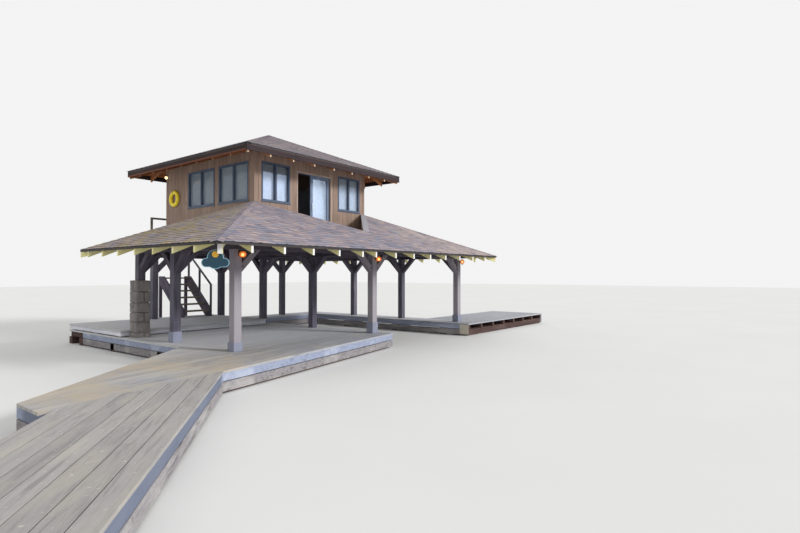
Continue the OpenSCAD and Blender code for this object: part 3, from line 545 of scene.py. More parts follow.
plaque_teal = painted("plaque face", "103c4e 245464 0c2e3e", 0.25, 0.12, 0.5)
gold_paint = painted("gold boss", "e8b438 ce9a32 d6a030", 0.2, 0.05, 0.4)
plaque_edge = painted("plaque edge", "80a6b8 688c9c 7096a8", 0.25, 0.1, 0.5)
pier_rock = painted("pier stone", "8a8482 a8a29c 686466", 0.4, 0.12, 0.9, 0.0, 6, 0.6)
mortar = painted("mortar", "78746e 8c867e 625e5a", 0.4, 0.1, 0.95, 0.0, 2, 0.5)
lamp_bulb = painted("lamp bulbs", "ffd88c ffc878 ffe0a0", 0.1, 0.1, 0.4, glow=3.0)
LOWER_BLENDS = "8d868e a3969b 8b8c9c af9e9e 7f7c8a 9c98a5 b8a6a3 958d93"
UPPER_BLENDS = "8a8286 9a9090 86808a a29796 807980 948d93"
lower_shingle = shingled("lower shingles", LOWER_BLENDS, "a99d9f", 0.32, 1.3, sunlit_right_end)
mossy_shingle = shingled("mossy shingles", LOWER_BLENDS, "a0948a", 0.35, 0.9, mossy_hip)
upper_shingle = shingled("upper shingles", UPPER_BLENDS, "9e9696", 0.3, 1.1)


def two_tone_rafters():
    """Lower rafters: cream sides and white ends outside the posts, dark stain under the roof; the left row's ends in
    painted shade.
    """
    material, tree, shader, place = new_finish("rafters")
    dark, _ = grained(tree, "54484c", "362e34", "6c5e5e", 0.3)
    cream, height = grained(tree, "f2ebaa", "d2c684", "f8f3c8", 0.14)
    x, y, _ = axes_of(place)
    inside = (x > POSTS_X0) * (x < POSTS_X1) * (y > POSTS_Y0) * (y < POSTS_Y1)
    colour, _ = worn_by(inside.blend(cream, dark), place, "968868", 0.16, 0.25)
    # Painted shade: the ends of the left row keep the side colour, not white, as they lie in shade.
    shaded_left_row = (x < LEFT_TIPS_X) * (y > LEFT_TIPS_Y)
    colour = (tone_of(tree, "end") * (1.0 - shaded_left_row)).blend(colour, "f0f0ec")
    feed(shader, {"Base Color": colour, "Roughness": 0.7, "Normal": bump_of(height, 0.4, 1.2 * MM)})
    return material


def slant_of(tree, output, blend):
    """How far a surface turns away from what looks at it."""
    return Number(put(tree, "ShaderNodeLayerWeight", {"Blend": blend})[output])


def window_glass():
    """Window glass: mostly clear, more mirror-like at a slant."""
    material, tree, shader, place = new_finish("window panes")
    haze = noise_of(place, 2.0, 4.0, 0.6)
    feed(shader, {"Alpha": haze * 0.12 + 0.03 + slant_of(tree, "Fresnel", 0.3) * 0.5,
                  "Base Color": haze.blend("96aabe", "bec8d0"), "Roughness": 0.04, "Specular IOR Level": 0.8})
    return material


def amber_glass():
    """Thick amber glass, darker towards the limb, where more of it lies in the way of the bulb."""
    material, tree, shader, place = new_finish("amber globes")
    limb = slant_of(tree, "Facing", 0.45)
    colour = limb.blend(noise_of(place, 22.0, 3.0, 0.6).blend("f07828", "fca446"), "802c1e")
    feed(shader, {"Base Color": colour, "Emission Color": colour, "Emission Strength": 0.5,
                  "Alpha": limb * 0.3 + 0.66, "Roughness": 0.15})
    return material


rafter_paint = two_tone_rafters()
clear_pane = window_glass()
amber = amber_glass()


# Mesh work
def mesh_from(bm, name):
    """Edited geometry as a plain mesh."""
    mesh = bpy.data.meshes.new(name)
    bm.to_mesh(mesh)
    bm.free()
    return mesh


def link(mesh, name, *materials):
    """A piece made of a mesh, with its finishes."""
    for material in materials:
        mesh.materials.append(material)
    return added(name, mesh)


def declare(piece, slot, replaced=()):
    """Every piece rides on the one body; some stand for a node of the frame."""
    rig.ride(piece, "root")
    if replaced:
        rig.replaces(piece, *replaced)
    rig.slot(piece, slot)
    return piece


def soften(piece, width):
    """Round the edges a little, as sawn and worn timber is, and wide ones in more steps."""
    bevel = piece.modifiers.new("edges", "BEVEL")
    bevel.width = width
    bevel.segments = 3 if width > 0.01 else 2
    bevel.limit_method = "ANGLE"
    bevel.angle_limit = math.radians(35)
    return piece


def joined(parts):
    """Several parts as one."""
    whole = bmesh.new()
    for part in parts:
        mesh = mesh_from(part, "part")
        whole.from_mesh(mesh)
        bpy.data.meshes.remove(mesh)
    return whole


def piece_of(name, parts, materials, slot, replaced=()):
    """Join parts into one piece, in one finish or a list of them."""
    whole = joined(parts)
    stray = [vert for vert in whole.verts if not vert.link_faces]
    bmesh.ops.delete(whole, geom=stray, context="VERTS")
    whole.normal_update()
    materials = materials if isinstance(materials, list) else [materials]
    return declare(link(mesh_from(whole, name), name, *materials), slot, replaced)


def merged_copy(node):
    """A node's mesh with its loose triangles joined into whole faces."""
    bm = bmesh.new()
    bm.from_mesh(nodes[node].data)
    bmesh.ops.remove_doubles(bm, verts=bm.verts, dist=0.00002)
    bmesh.ops.dissolve_limit(bm, angle_limit=math.radians(0.5), verts=bm.verts, edges=bm.edges)
    return bm


def islands(bm):
    """The separate bars of a mesh, in a fixed order."""
    seen = set()
    found = []
    for start in bm.verts:
        if start in seen:
            continue
        seen.add(start)
        part = []
        stack = [start]
        while stack:
            vert = stack.pop()
            part.append(vert)
            for edge in vert.link_edges:
                other = edge.other_vert(vert)
                if other not in seen:
                    seen.add(other)
                    stack.append(other)
        found.append(part)
    return found


def middle_of(part):
    return sum((vert.co for vert in part), Vector()) / len(part)


def main_axis(part):
    """The direction a bar runs in, from the spread of its corners."""
    points = np.array([vert.co[:] for vert in part])
    spread = points - points.mean(axis=0)
    values, vectors = np.linalg.eigh(spread.T @ spread)
    axis = Vector(vectors[:, int(np.argmax(values))])
    return axis if max(axis, key=abs) > 0 else -axis


def mark_grain(bm, seed, axis=None):
    """Give each bar its grain direction, a shade of its own, and marks on its end faces."""
    rng = random.Random(seed)
    bm.normal_update()
    grain = bm.verts.layers.float_vector.new("grain")
    tone = bm.verts.layers.float.new("tone")
    end = bm.faces.layers.float.new("end")
    for part in islands(bm):
        run = axis or main_axis(part)
        side = run.orthogonal().normalized() if abs(run.z) > 0.9 else UP.cross(run).normalized()
        other = run.cross(side)
        shade = rng.random()
        centre = middle_of(part)
        for vert in part:
            offset = vert.co - centre
            vert[grain] = (offset.dot(run), offset.dot(side), offset.dot(other))
            vert[tone] = shade
            for face in vert.link_faces:
                face[end] = 1.0 if abs(face.normal.dot(run)) > 0.75 else 0.0
    return bm


def timber_piece(name, node, material, slot, width, seed, axis=None):
    """A node's bars again, with softened edges and grain."""
    bars = mark_grain(merged_copy(node), seed, axis)
    return soften(piece_of(name, [bars], material, slot, (node,)), width)


def block(lo, hi):
    """A plain board or post between two corners."""
    bm = bmesh.new()
    bmesh.ops.create_cube(bm, size=1)
    for vert in bm.verts:
        vert.co = [lo[i] if vert.co[i] < 0 else hi[i] for i in range(3)]
    return bm


def board_piece(name, boxes, material, slot, width=0.004, seed=1, axis=None):
    """Boards given by their corners, with grain and soft edges."""
    boards = mark_grain(joined([block(lo, hi) for lo, hi in boxes]), seed, axis)
    return soften(piece_of(name, [boards], material, slot), width)


# Trees that grow geometry
def end_tree(tree, given, out, instances):
    """Make the instances real and give them their finish."""
    whole = put(tree, "GeometryNodeRealizeInstances", {"Geometry": instances})[0]
    finished = put(tree, "GeometryNodeSetMaterial", {"Geometry": whole, "Material": given["Material"]})
    feed(out, {"Geometry": finished[0]})
    return tree


def moved(geometry, way):
    return put(geometry.id_data, "GeometryNodeTransform", {"Geometry": geometry, "Translation": way})[0]


def build_laid_rows():
    """Rows of boards or shingles, made once and laid on every face of the building."""
    sizes = ("Run", "Rise", "Piece", "Row", "Cover", "Thickness", "Gap", "Stagger", "Tilt", "Uneven", "Lift")
    tree, given, out = new_group(
        "GeometryNodeTree", "laid rows",
        {"Geometry": "Geometry", **dict.fromkeys(sizes, "Float"), "Seed": "Int", "Material": "Material"},
        {"Geometry": "Geometry"})
    length, pitch, cover, thick = [given[size] for size in ("Piece", "Row", "Cover", "Thickness")]

    def position():
        return put(tree, "GeometryNodeInputPosition")[0]

    def chance(index, offset):
        """A number from 0 to 1 for each index."""
        return Number(put(tree, "FunctionNodeRandomValue", {"ID": index, "Seed": given["Seed"] + offset},
                          data_type="FLOAT")[1])

    def stored(geometry, name, value, kind, domain):
        sockets = {"Geometry": geometry, "Name": name, "Value": value}
        return put(tree, "GeometryNodeStoreNamedAttribute", sockets, data_type=kind, domain=domain)[0]

    across = math.ceil(given["Run"] / length) + 4.0
    upward = math.ceil(given["Rise"] / pitch) + 1.0
    wide = (across - 1.0) * length
    high = (upward - 1.0) * pitch
    grid = put(tree, "GeometryNodeMeshGrid", {"Size X": wide, "Size Y": high, "Vertices X": across,
                                              "Vertices Y": upward})["Mesh"]
    starts = moved(grid, vector_of(tree, wide * 0.5 - length * 1.5, high * 0.5))
    row = round(axes_of(position())[1] / pitch)
    jog = vector_of(tree, chance(row, 0.0) * given["Stagger"] * length)
    starts = put(tree, "GeometryNodeSetPosition", {"Geometry": starts, "Offset": jog})[0]
    size = vector_of(tree, length - given["Gap"], cover, thick)
    board = put(tree, "GeometryNodeMeshCube", {"Size": size})["Mesh"]
    board = moved(board, vector_of(tree, 0.0, cover * 0.5, thick * 0.5))
    board = stored(board, "grain", position(), "FLOAT_VECTOR", "POINT")
    index = put(tree, "GeometryNodeInputIndex")[0]
    stretch = vector_of(tree, chance(index, 7.0) * given["Uneven"] + 1.0, 1.0, 1.0)
    lean = vector_of(tree, given["Tilt"] * -1.0)
    rows = put(tree, "GeometryNodeInstanceOnPoints", {"Points": starts, "Instance": board, "Rotation": lean,
                                                      "Scale": stretch})[0]
    lift = vector_of(tree, 0.0, 0.0, chance(index, 3.0) * given["Lift"])
    rows = put(tree, "GeometryNodeTranslateInstances", {"Instances": rows, "Translation": lift})[0]
    return end_tree(tree, given, out, stored(rows, "tone", chance(index, 11.0), "FLOAT", "INSTANCE"))


def build_bolt_heads():
    """A bolt head with its washer at each point, facing the way the point says."""
    tree, given, out = new_group(
        "GeometryNodeTree", "bolt heads",
        {"Geometry": "Geometry", "Head": "Float", "Rise": "Float", "Washer": "Float", "Material": "Material"},
        {"Geometry": "Geometry"})
    head, washer = [
        put(tree, "GeometryNodeMeshCylinder", {"Vertices": sides, "Radius": radius, "Depth": depth})[0]
        for sides, radius, depth in ((6, given["Head"], given["Rise"]), (14, given["Washer"], 0.006))]
    both = tree.nodes.new("GeometryNodeJoinGeometry")
    tree.links.new(moved(head, vector_of(tree, z=given["Rise"])), both.inputs[0])
    tree.links.new(washer, both.inputs[0])
    points = put(tree, "GeometryNodeMeshToPoints", {"Mesh": given["Geometry"]})[0]
    facing = put(tree, "GeometryNodeInputNamedAttribute", {"Name": "facing"}, data_type="FLOAT_VECTOR")[0]
    turned = put(tree, "FunctionNodeAlignRotationToVector", {"Vector": facing}, axis="Z")[0]
    return end_tree(tree, given, out, put(tree, "GeometryNodeInstanceOnPoints", {
        "Points": points, "Instance": both.outputs[0], "Rotation": turned})[0])


LAID_ROWS = build_laid_rows()
BOLT_HEADS = build_bolt_heads()


def grown(tree, values, base=None):
    """Run a tree with its inputs set by name, and give the plain mesh it makes."""
    holder = added("start", base or bpy.data.meshes.new("start"))
    modifier = holder.modifiers.new("grow", "NODES")
    modifier.node_group = tree
    for item in tree.interface.items_tree:
        if item.in_out == "INPUT" and item.name in values:
            modifier[item.identifier] = values[item.name]
    holder.update_tag()
    depsgraph = bpy.context.evaluated_depsgraph_get()
    result = bpy.data.meshes.new_from_object(holder.evaluated_get(depsgraph), preserve_all_data_layers=True,
                                             depsgraph=depsgraph)
    holder.modifiers.clear()
    bpy.data.objects.remove(holder)
    result.materials.clear()
    return result


def cut_off(bm, point, normal):
    """Take away what lies beyond a plane, and close the cut."""
    cut = bmesh.ops.bisect_plane(bm, geom=bm.verts[:] + bm.edges[:] + bm.faces[:], dist=0.00001,
                                 plane_co=point, plane_no=normal, clear_outer=True)
    rim = [item for item in cut["geom_cut"] if isinstance(item, bmesh.types.BMEdge) and item.is_boundary]
    if rim:
        bmesh.ops.holes_fill(bm, edges=rim, sides=0)
    return bm


def laid(origin, along, upward, run, rise, outlines, through, material, seed, **sizes):
    """Rows laid on a face from its lower corner, cut to each convex outline pushed through them."""
    values = {key.capitalize(): value for key, value in sizes.items()}
    mesh = grown(LAID_ROWS, {"Run": run, "Rise": rise, "Seed": seed, "Material": material, **values})
    u = Vector(along).normalized()
    v = Vector(upward).normalized()
    move = Matrix((u, v, u.cross(v).normalized())).transposed().to_4x4()
    move.translation = origin
    mesh.transform(move)
    parts = []
    for outline in outlines:
        part = bmesh.new()
        part.from_mesh(mesh)
        middle = sum(outline, Vector()) / len(outline)
        for index, end in enumerate(outline):
            start = outline[index - 1]
            normal = (end - start).cross(through).normalized()
            cut_off(part, start, -normal if normal.dot(middle - start) > 0 else normal)
        parts.append(part)
    bpy.data.meshes.remove(mesh)
    return joined(parts)


# Outlines
def flat(points):
    """The points of a plan, at height 0."""
    return [Vector((x, y, 0)) for x, y in points]


def corners_of(x0, y0, x1, y1):
    return [(x0, y0), (x1, y0), (x1, y1), (x0, y1)]


def rectangle(x0, y0, x1, y1):
    return flat(corners_of(x0, y0, x1, y1))


def patch(start, across, up):
    """A rectangle on any plane."""
    return [start, start + across, start + across + up, start + up]


def half(outline, edge, inward):
    """The part of a flat outline on one side of a line."""
    kept = []
    for index, end in enumerate(outline):
        start = outline[index - 1]
        a = (start - edge).dot(inward)
        b = (end - edge).dot(inward)
        if (a < 0) != (b < 0):
            kept.append(start + (end - start) * (a / (a - b)))
        if b >= 0:
            kept.append(end)
    return kept


# Corners of the cabin and of both roofs
CAB_X0, CAB_Y0, CAB_X1, CAB_Y1 = 1.875, 1.875, 6.18, 6.32
CABIN = corners_of(CAB_X0, CAB_Y0, CAB_X1, CAB_Y1)
TIP = (4.3, 0.07)
EAVE_X0, EAVE_Y0, EAVE_X1, EAVE_Y1 = -1.3, -1.3, 9.355, 7.715
EAVES = corners_of(EAVE_X0, EAVE_Y0, EAVE_X1, EAVE_Y1)
HIP_REACH = CAB_X0 - EAVE_X0
BACK_HIP_TOP = (CAB_X1, EAVE_Y1 - HIP_REACH)
FRONT_SPLIT = (TIP[0], EAVE_Y0)
LEFT_END = (EAVE_X0, 4.58)
BACK_END_X = 4.34
EAVE_Z, PITCH_LOW, LOWER_T = 2.64, 0.4173, 0.036
UP_X0, UP_Y0, UP_X1, UP_Y1 = 1.035, 1.035, 7.02, 7.16
UP_Z, PITCH_UP, UPPER_T = 5.2477, 0.4163, 0.04
UPPER_EAVES = corners_of(UP_X0, UP_Y0, UP_X1, UP_Y1)
UP_REACH = (UP_X1 - UP_X0) / 2
RIDGE = [(UP_X0 + UP_REACH, UP_Y0 + UP_REACH), (UP_X0 + UP_REACH, UP_Y1 - UP_REACH)]
SHINGLE_LIFT = 0.008
SHINGLE = {"piece": 0.21, "row": 0.142, "cover": 0.158, "thickness": 0.008, "stagger": 1.0, "tilt": 0.056,
           "uneven": 0.55, "lift": 0.005}
SHEATHING = {"piece": 2.4, "row": 0.142, "cover": 0.137, "thickness": 0.012, "gap": 0.004, "stagger": 1.0}


def cover_slope(start, height, along, pitch, run, rise, outlines, finish, under, seed, drop):
    """Shingles on a slope and boards under it."""
    u = Vector((*along, 0))
    v = (UP.cross(u) + UP * pitch).normalized()
    w = u.cross(v).normalized()
    base = Vector((*start, height))
    outlines = [flat(outline) for outline in outlines]
    top = laid(base + w * SHINGLE_LIFT, u, v, run, rise, outlines, UP, finish, seed, **SHINGLE)
    low = laid(base - UP * drop - w * SHEATHING["thickness"], u, v, run, rise, outlines, UP, under, seed + 50,
               **SHEATHING)
    return top, low


# Lower roof
LOWER_RISE = 3.5
LOWER_SLOPES = [
    ("front", EAVES[0], (1, 0), 10.66, lower_shingle, "lower_shingles",
     [[EAVES[0], FRONT_SPLIT, TIP, CABIN[0]], [FRONT_SPLIT, EAVES[1], CABIN[1], TIP]]),
    ("left", LEFT_END, (0, -1), 5.9, mossy_shingle, "mossy_shingles", [[EAVES[0], CABIN[0], LEFT_END]]),
    ("right", EAVES[1], (0, 1), 9.02, lower_shingle, "lower_shingles",
     [[EAVES[1], EAVES[2], BACK_HIP_TOP, CABIN[1]]]),
    ("back", EAVES[2], (-1, 0), 5.02, lower_shingle, "lower_shingles",
     [[EAVES[2], (BACK_END_X, EAVE_Y1), (BACK_END_X, CAB_Y1), CABIN[2]], [EAVES[2], CABIN[2], BACK_HIP_TOP]]),
]
lower_boards = []
for seed, (side, start, along, run, finish, slot, outlines) in enumerate(LOWER_SLOPES, 11):
    shingles, under = cover_slope(start, EAVE_Z, along, PITCH_LOW, run, LOWER_RISE, outlines, finish,
                                  deck_under, seed, LOWER_T)
    piece_of("shingles_" + side, [shingles], finish, slot)
    lower_boards.append(under)
piece_of("roof_boards", lower_boards, deck_under, "rafter_timber")

# Upper roof
UPPER_RUN, UPPER_RISE = 6.2, 3.4
UPPER_SLOPES = [
    ((1, 0), [UPPER_EAVES[0], UPPER_EAVES[1], RIDGE[0]]),
    ((0, -1), [UPPER_EAVES[3], UPPER_EAVES[0], RIDGE[0], RIDGE[1]]),
    ((0, 1), [UPPER_EAVES[1], UPPER_EAVES[2], RIDGE[1], RIDGE[0]]),
    ((-1, 0), [UPPER_EAVES[2], UPPER_EAVES[3], RIDGE[1]]),
]
upper_parts = [
    cover_slope(outline[0], UP_Z, along, PITCH_UP, UPPER_RUN, UPPER_RISE, [outline], upper_shingle,
                soffit_wood, seed, UPPER_T)
    for seed, (along, outline) in enumerate(UPPER_SLOPES, 31)]
piece_of("upper_shingles", [shingles for shingles, _ in upper_parts], upper_shingle, "upper_shingles")
piece_of("soffit", [under for _, under in upper_parts], soffit_wood, "tail_timber")

# Caps over the hips, one strip on each side of the line
CAP_W = 0.115
CAP_LIFT = 0.016


def caps_along(low, high, ways, pitch, finish, seed):
    """Strips of caps from a low to a high point, on the slopes that rise towards each way."""
    strips = []
    line = high - low
    v = line.normalized()
    for order, way in enumerate(ways):
        into = Vector((*way, 0))
        n = (UP - into * pitch).normalized()
        u = v.cross(n).normalized()
        start = low + n * CAP_LIFT - u * (0.0 if u.dot(into) < 0 else CAP_W)
        strips.append(laid(start, u, v, CAP_W, line.length, [patch(start, u * CAP_W, line)], n, finish,
                           seed + order, piece=CAP_W, row=0.14, cover=0.19, thickness=0.008, tilt=0.058))
    return strips


def hip_caps(hips, eave, reach, pitch, finish, seed):
    """Caps over every hip of a roof, from its corner at the eave to where it ends."""
    strips = []
    for (x, y), top in hips:
        ways = ((0, math.copysign(1, top[1] - y)), (math.copysign(1, top[0] - x), 0))
        strips += caps_along(Vector((x, y, eave)), Vector((*top, eave + pitch * reach)), ways, pitch, finish,
                             seed + len(strips))
    return strips


hips = zip(EAVES, (CABIN[0], CABIN[1], BACK_HIP_TOP))
caps = hip_caps(hips, EAVE_Z, HIP_REACH, PITCH_LOW, lower_shingle, 61)
piece_of("lower_hip_caps", caps, lower_shingle, "lower_shingles")
hips = zip(UPPER_EAVES, (RIDGE[0], RIDGE[0], RIDGE[1], RIDGE[1]))
caps = hip_caps(hips, UP_Z, UP_REACH, PITCH_UP, upper_shingle, 81)
ridge_ends = [Vector((*end, UP_Z + PITCH_UP * UP_REACH)) for end in RIDGE]
for way in ((1, 0), (-1, 0)):
    caps += caps_along(*ridge_ends, [way], PITCH_UP, upper_shingle, 95)
piece_of("upper_hip_caps", caps, upper_shingle, "upper_shingles")

# Docks
DECK_Z = 0.4
BOARD_T = 0.04
EDGE_W = 0.045
PLAIN_BOARDS = {"piece": 3.6, "row": 0.145, "cover": 0.138, "gap": 0.005}
WIDE_BOARDS = {"piece": 3.6, "row": 0.19, "cover": 0.183, "gap": 0.005}
WALK_BOARDS = {"piece": 4.8, "row": 0.226, "cover": 0.213, "gap": 0.005}
EDGE_BOARD = {"piece": 4.2, "row": 2 * EDGE_W, "cover": EDGE_W, "gap": 0.004}


def planks(outline, finish, seed, sizes=PLAIN_BOARDS, line=None, top=DECK_Z):
    """Boards that fill an outline, parallel to a line from end to end or else to its first edge."""
    start, end = line or outline[:2]
    u = (end - start).normalized()
    v = UP.cross(u)
    base = start + UP * (top - BOARD_T)
    spans = [(spot - base).dot(u) for spot in outline]
    rise = max((spot - base).dot(v) for spot in outline)
    return laid(base + u * min(spans), u, v, max(spans) - min(spans), rise, [outline], UP, finish, seed,
                thickness=BOARD_T, stagger=1.0, **sizes)


def split_off(outline, start, end):
    """An outline split into the strip of the rim board along one edge, and the rest."""
    side = UP.cross((end - start).normalized())
    line = start + side * EDGE_W
    return half(outline, line, -side), half(outline, line, side)


def point(x, y):
    return Vector((x, y, 0))


STEP_Z, STEP_X1, STEP_Y0 = 0.575, 4.27, 4.4
SLIP_X, SLIP_Y0, SLIP_Y1 = 4.775, -1, 6.7
RIGHT_X0, RIGHT_X1, RIGHT_Y0, RUN_Y = 8.42, 14.375, -0.76, 1.54
BACK_Y = 7.65
DOCK_X0 = -0.4
NOTCH_Y = 1.5
EDGE_TURN, WALK_TURN = math.radians(12.15), math.radians(48.86)
WALK_W, WALK_RUN, WEST_RUN, WEST_RISE = 1.66, 6.0, 0.236, 0.716
LAKE_RUN = 6.424
edge_way = -point(math.cos(EDGE_TURN), math.sin(EDGE_TURN))
walk_way = -point(math.cos(WALK_TURN), math.sin(WALK_TURN))
walk_in = point(-math.sin(WALK_TURN), math.cos(WALK_TURN))
lake_end = point(SLIP_X, -0.48)
corner = lake_end + edge_way * LAKE_RUN
walk_left = corner + edge_way * (WALK_W / math.sin(WALK_TURN - EDGE_TURN))
west = walk_left + edge_way * WEST_RUN
walk_end = corner + walk_way * WALK_RUN
walk_end_left = walk_end + walk_in * WALK_W
lake_line, slip_line = (west, lake_end), (point(SLIP_X, SLIP_Y0), point(SLIP_X, SLIP_Y1))
walk_right_line, walk_left_line = (walk_end, corner), (walk_left, walk_end_left)
slip_rim = SLIP_X - EDGE_W
right_rim = RIGHT_X0 + EDGE_W

left_front = [west, lake_end, point(SLIP_X, NOTCH_Y), point(DOCK_X0, NOTCH_Y), west + point(0, WEST_RISE)]
lake_strip, left_front = split_off(left_front, *lake_line)
slip_strip, left_front = split_off(left_front, *slip_line)
right_strip, walk = split_off([corner, walk_left, walk_end_left, walk_end], *walk_right_line)
left_strip, walk = split_off(walk, *walk_left_line)
DECKS = [
    ("left_dock_boards", dock_wood, ("left_dock",), [
        (left_front, 3, WIDE_BOARDS, lake_line),
        (rectangle(DOCK_X0, NOTCH_Y, slip_rim, SLIP_Y1), 6, WIDE_BOARDS)]),
    ("left_dock_edges", dock_wood, (), [
        (lake_strip, 13, EDGE_BOARD, lake_line),
        (slip_strip, 15, EDGE_BOARD, slip_line),
        (rectangle(slip_rim, NOTCH_Y, SLIP_X, SLIP_Y1), 16, EDGE_BOARD, slip_line)]),
    ("walkway_boards", walk_wood, ("walkway",), [(walk, 7, WALK_BOARDS, walk_right_line)]),
    ("walkway_edges", walk_wood, (), [
        (right_strip, 17, EDGE_BOARD, walk_right_line),
        (left_strip, 18, EDGE_BOARD, walk_left_line)]),
    ("right_dock_boards", dock_wood, ("right_dock",), [
        (rectangle(right_rim, RIGHT_Y0, RIGHT_X1, RUN_Y), 21),
        (rectangle(right_rim, RUN_Y, EAVE_X1, BACK_Y), 22)]),
    ("right_dock_edges", edge_wood, (), [
        (rectangle(RIGHT_X0, RIGHT_Y0, right_rim, BACK_Y), 24, EDGE_BOARD,
         (point(RIGHT_X0, BACK_Y), point(RIGHT_X0, RIGHT_Y0)))]),
    ("back_dock_boards", dock_wood, ("back_dock",), [(rectangle(DOCK_X0, SLIP_Y1, RIGHT_X0, BACK_Y), 25)]),
    ("platform_boards", dock_wood, ("back_platform",), [
        (rectangle(DOCK_X0, STEP_Y0, STEP_X1, BACK_Y), 27, PLAIN_BOARDS, None, STEP_Z)]),
]
for name, material, replaced, parts in DECKS:
    rows = [planks(outline, material, *rest) for outline, *rest in parts]
    piece_of(name, rows, material, "dock_boards", replaced)

# Raised platform: skirts under its edge, with bearers between
SKIRT_T, SKIRT_IN = 0.03, 0.022
SKIRT_Z0, SKIRT_Z1 = 0.425, 0.528
BEARER_X0, BEARER_W, BEARER_IN = -0.35, 0.08, 0.12
x0, y0, x1, y1 = DOCK_X0 + SKIRT_IN, STEP_Y0 + SKIRT_IN, STEP_X1 - SKIRT_IN, BACK_Y - SKIRT_IN
skirts = [((x0, y0), (x1, y0 + SKIRT_T)), ((x1 - SKIRT_T, y0 + SKIRT_T), (x1, y1)),
          ((x0, y0 + SKIRT_T), (x0 + SKIRT_T, y1)), ((x0, y1 - SKIRT_T), (x1, y1))]
bearers = [((BEARER_X0, y, DECK_Z), (STEP_X1 - BEARER_IN, y + BEARER_W, STEP_Z - BOARD_T))
           for y in (STEP_Y0 + BEARER_IN, 5.95, BACK_Y - BEARER_IN - BEARER_W)]
skirts = [((*lo, SKIRT_Z0), (*hi, SKIRT_Z1)) for lo, hi in skirts]
board_piece("platform_skirts", skirts + bearers, step_front, "dock_boards", seed=28)

# Rims in two boards, with a dark gap between them
for name, height, facing, material, replaced in (
        ("rims_lower", 0.205, UP, rim_wood, ("dock_rims",)), ("rims_upper", 0.218, -UP, band_paint, ())):
    rim = mark_grain(cut_off(merged_copy("dock_rims"), UP * height, facing), 29)
    soften(piece_of(name, [rim], material, "crib_timber", replaced), 0.005)

# Timber frame
TIMBERS = [
    ("joists_of_docks", "dock_joists", crib_wood, "crib_timber", 0.006),
    ("cribs", "dock_sills", crib_wood, "crib_timber", 0.01),
    ("main_posts", "posts", post_wood, "post_timber", 0.012, UP),
    ("knee_braces", "braces", brace_wood, "post_timber", 0.008),
    ("cross_timbers", "cross_beams", beam_wood, "post_timber", 0.008),
    ("row_timbers", "row_beams", beam_wood, "post_timber", 0.008),
    ("wall_plates", "plates", beam_wood, "post_timber", 0.006),
    ("joists_of_floor", "floor_joists", beam_wood, "post_timber", 0.004),
    ("common_rafters", "rafters", rafter_paint, "rafter_timber", 0.004),
    ("hip_timbers", "hip_rafters", rafter_paint, "rafter_timber", 0.005),
    ("upper_rafter_tails", "rafter_tails", tail_wood, "tail_timber", 0.005),
    ("eave_fascia", "upper_fascia", fascia_wood, "fascia_paint", 0.004),
    ("strings", "stair_stringers", brace_wood, "post_timber", 0.006),
    ("treads", "stair_treads", step_wood, "dock_boards", 0.006),
    ("rail_of_landing", "landing_rail", step_wood, "rail_timber", 0.005),
    ("cheeks", "balcony_sides", siding_wood, "siding", 0.003, UP),
]
for seed, (name, node, material, slot, width, *axis) in enumerate(TIMBERS, 41):
    timber_piece(name, node, material, slot, width, seed, *axis)
HIP_MIDDLE_X, HIP_MIDDLE_Y = 4, 3
TIP_X0, TIP_X1 = -1.0, 9.05
hip_mesh = bpy.data.objects["hip_timbers"].data
for face in hip_mesh.polygons:
    x, y, _ = face.center
    outward = Vector((1 if x > HIP_MIDDLE_X else -1, 1 if y > HIP_MIDDLE_Y else -1, 0)).normalized()
    at_tip = x < TIP_X0 or x > TIP_X1
    hip_mesh.attributes["end"].data[face.index].value = float(at_tip and face.normal.dot(outward) > 0.9)

# Floors
FLOOR_Z = 3.0217
LANDING_X1, LANDING_Y1 = 4.32, 7.38
FLOOR_BOARDS = {"piece": 2.6, "row": 0.11, "cover": 0.107, "gap": 0.003}
balcony = flat([TIP, CABIN[1], CABIN[0]])
front_line = (point(CAB_X0, TIP[1]), point(CAB_X1, TIP[1]))
FLOORS = [
    ("cabin_boards", flat(CABIN), None, floor_wood, "cabin_floor"),
    ("balcony_boards", balcony, front_line, step_wood, "balcony_floor"),
    ("landing_boards", rectangle(CAB_X0, CAB_Y1, LANDING_X1, LANDING_Y1), None, step_wood, "landing"),
]
for seed, (name, outline, line, material, node) in enumerate(FLOORS, 57):
    floor = planks(outline, material, seed, FLOOR_BOARDS, line, FLOOR_Z)
    piece_of(name, [floor], material, "floor_boards", (node,))

# Cladding: upright boards on each wall, cut round the openings
CLAD_T, CLAD_RUN = 0.012, 2.55
CLAD_Z0, CLAD_Z1 = 3.03, 5.555
SILL_Z, HEAD_Z, DOOR_Z = 4.0187, 5.0857, 4.9997
FRONT_WINDOWS = [(2.09, 3.075), (4.98, 5.965)]
SIDE_WINDOWS = [(2.12, 3.5), (3.70, 5.08)]
BACK_WINDOW = (4.445, 5.825)
FRONT_DOOR, BACK_DOOR = (3.31, 4.71), (2.23, 3.09)
WALLS = [
    (CABIN[1], (-1, 0), FRONT_WINDOWS, [FRONT_DOOR]),
    (CABIN[0], (0, 1), SIDE_WINDOWS, []),
    (CABIN[2], (0, -1), SIDE_WINDOWS, []),
    (CABIN[3], (1, 0), [BACK_WINDOW], [BACK_DOOR]),
]


def openings_of(start, windows, doors):
    """The openings of a wall as distances from where it starts, with their foot and head."""
    found = []
    for spans, low, high in ((windows, SILL_Z, HEAD_Z), (doors, CLAD_Z0, DOOR_Z)):
        found += [(*sorted(abs(end - start) for end in span), low, high) for span in spans]
    return sorted(found)


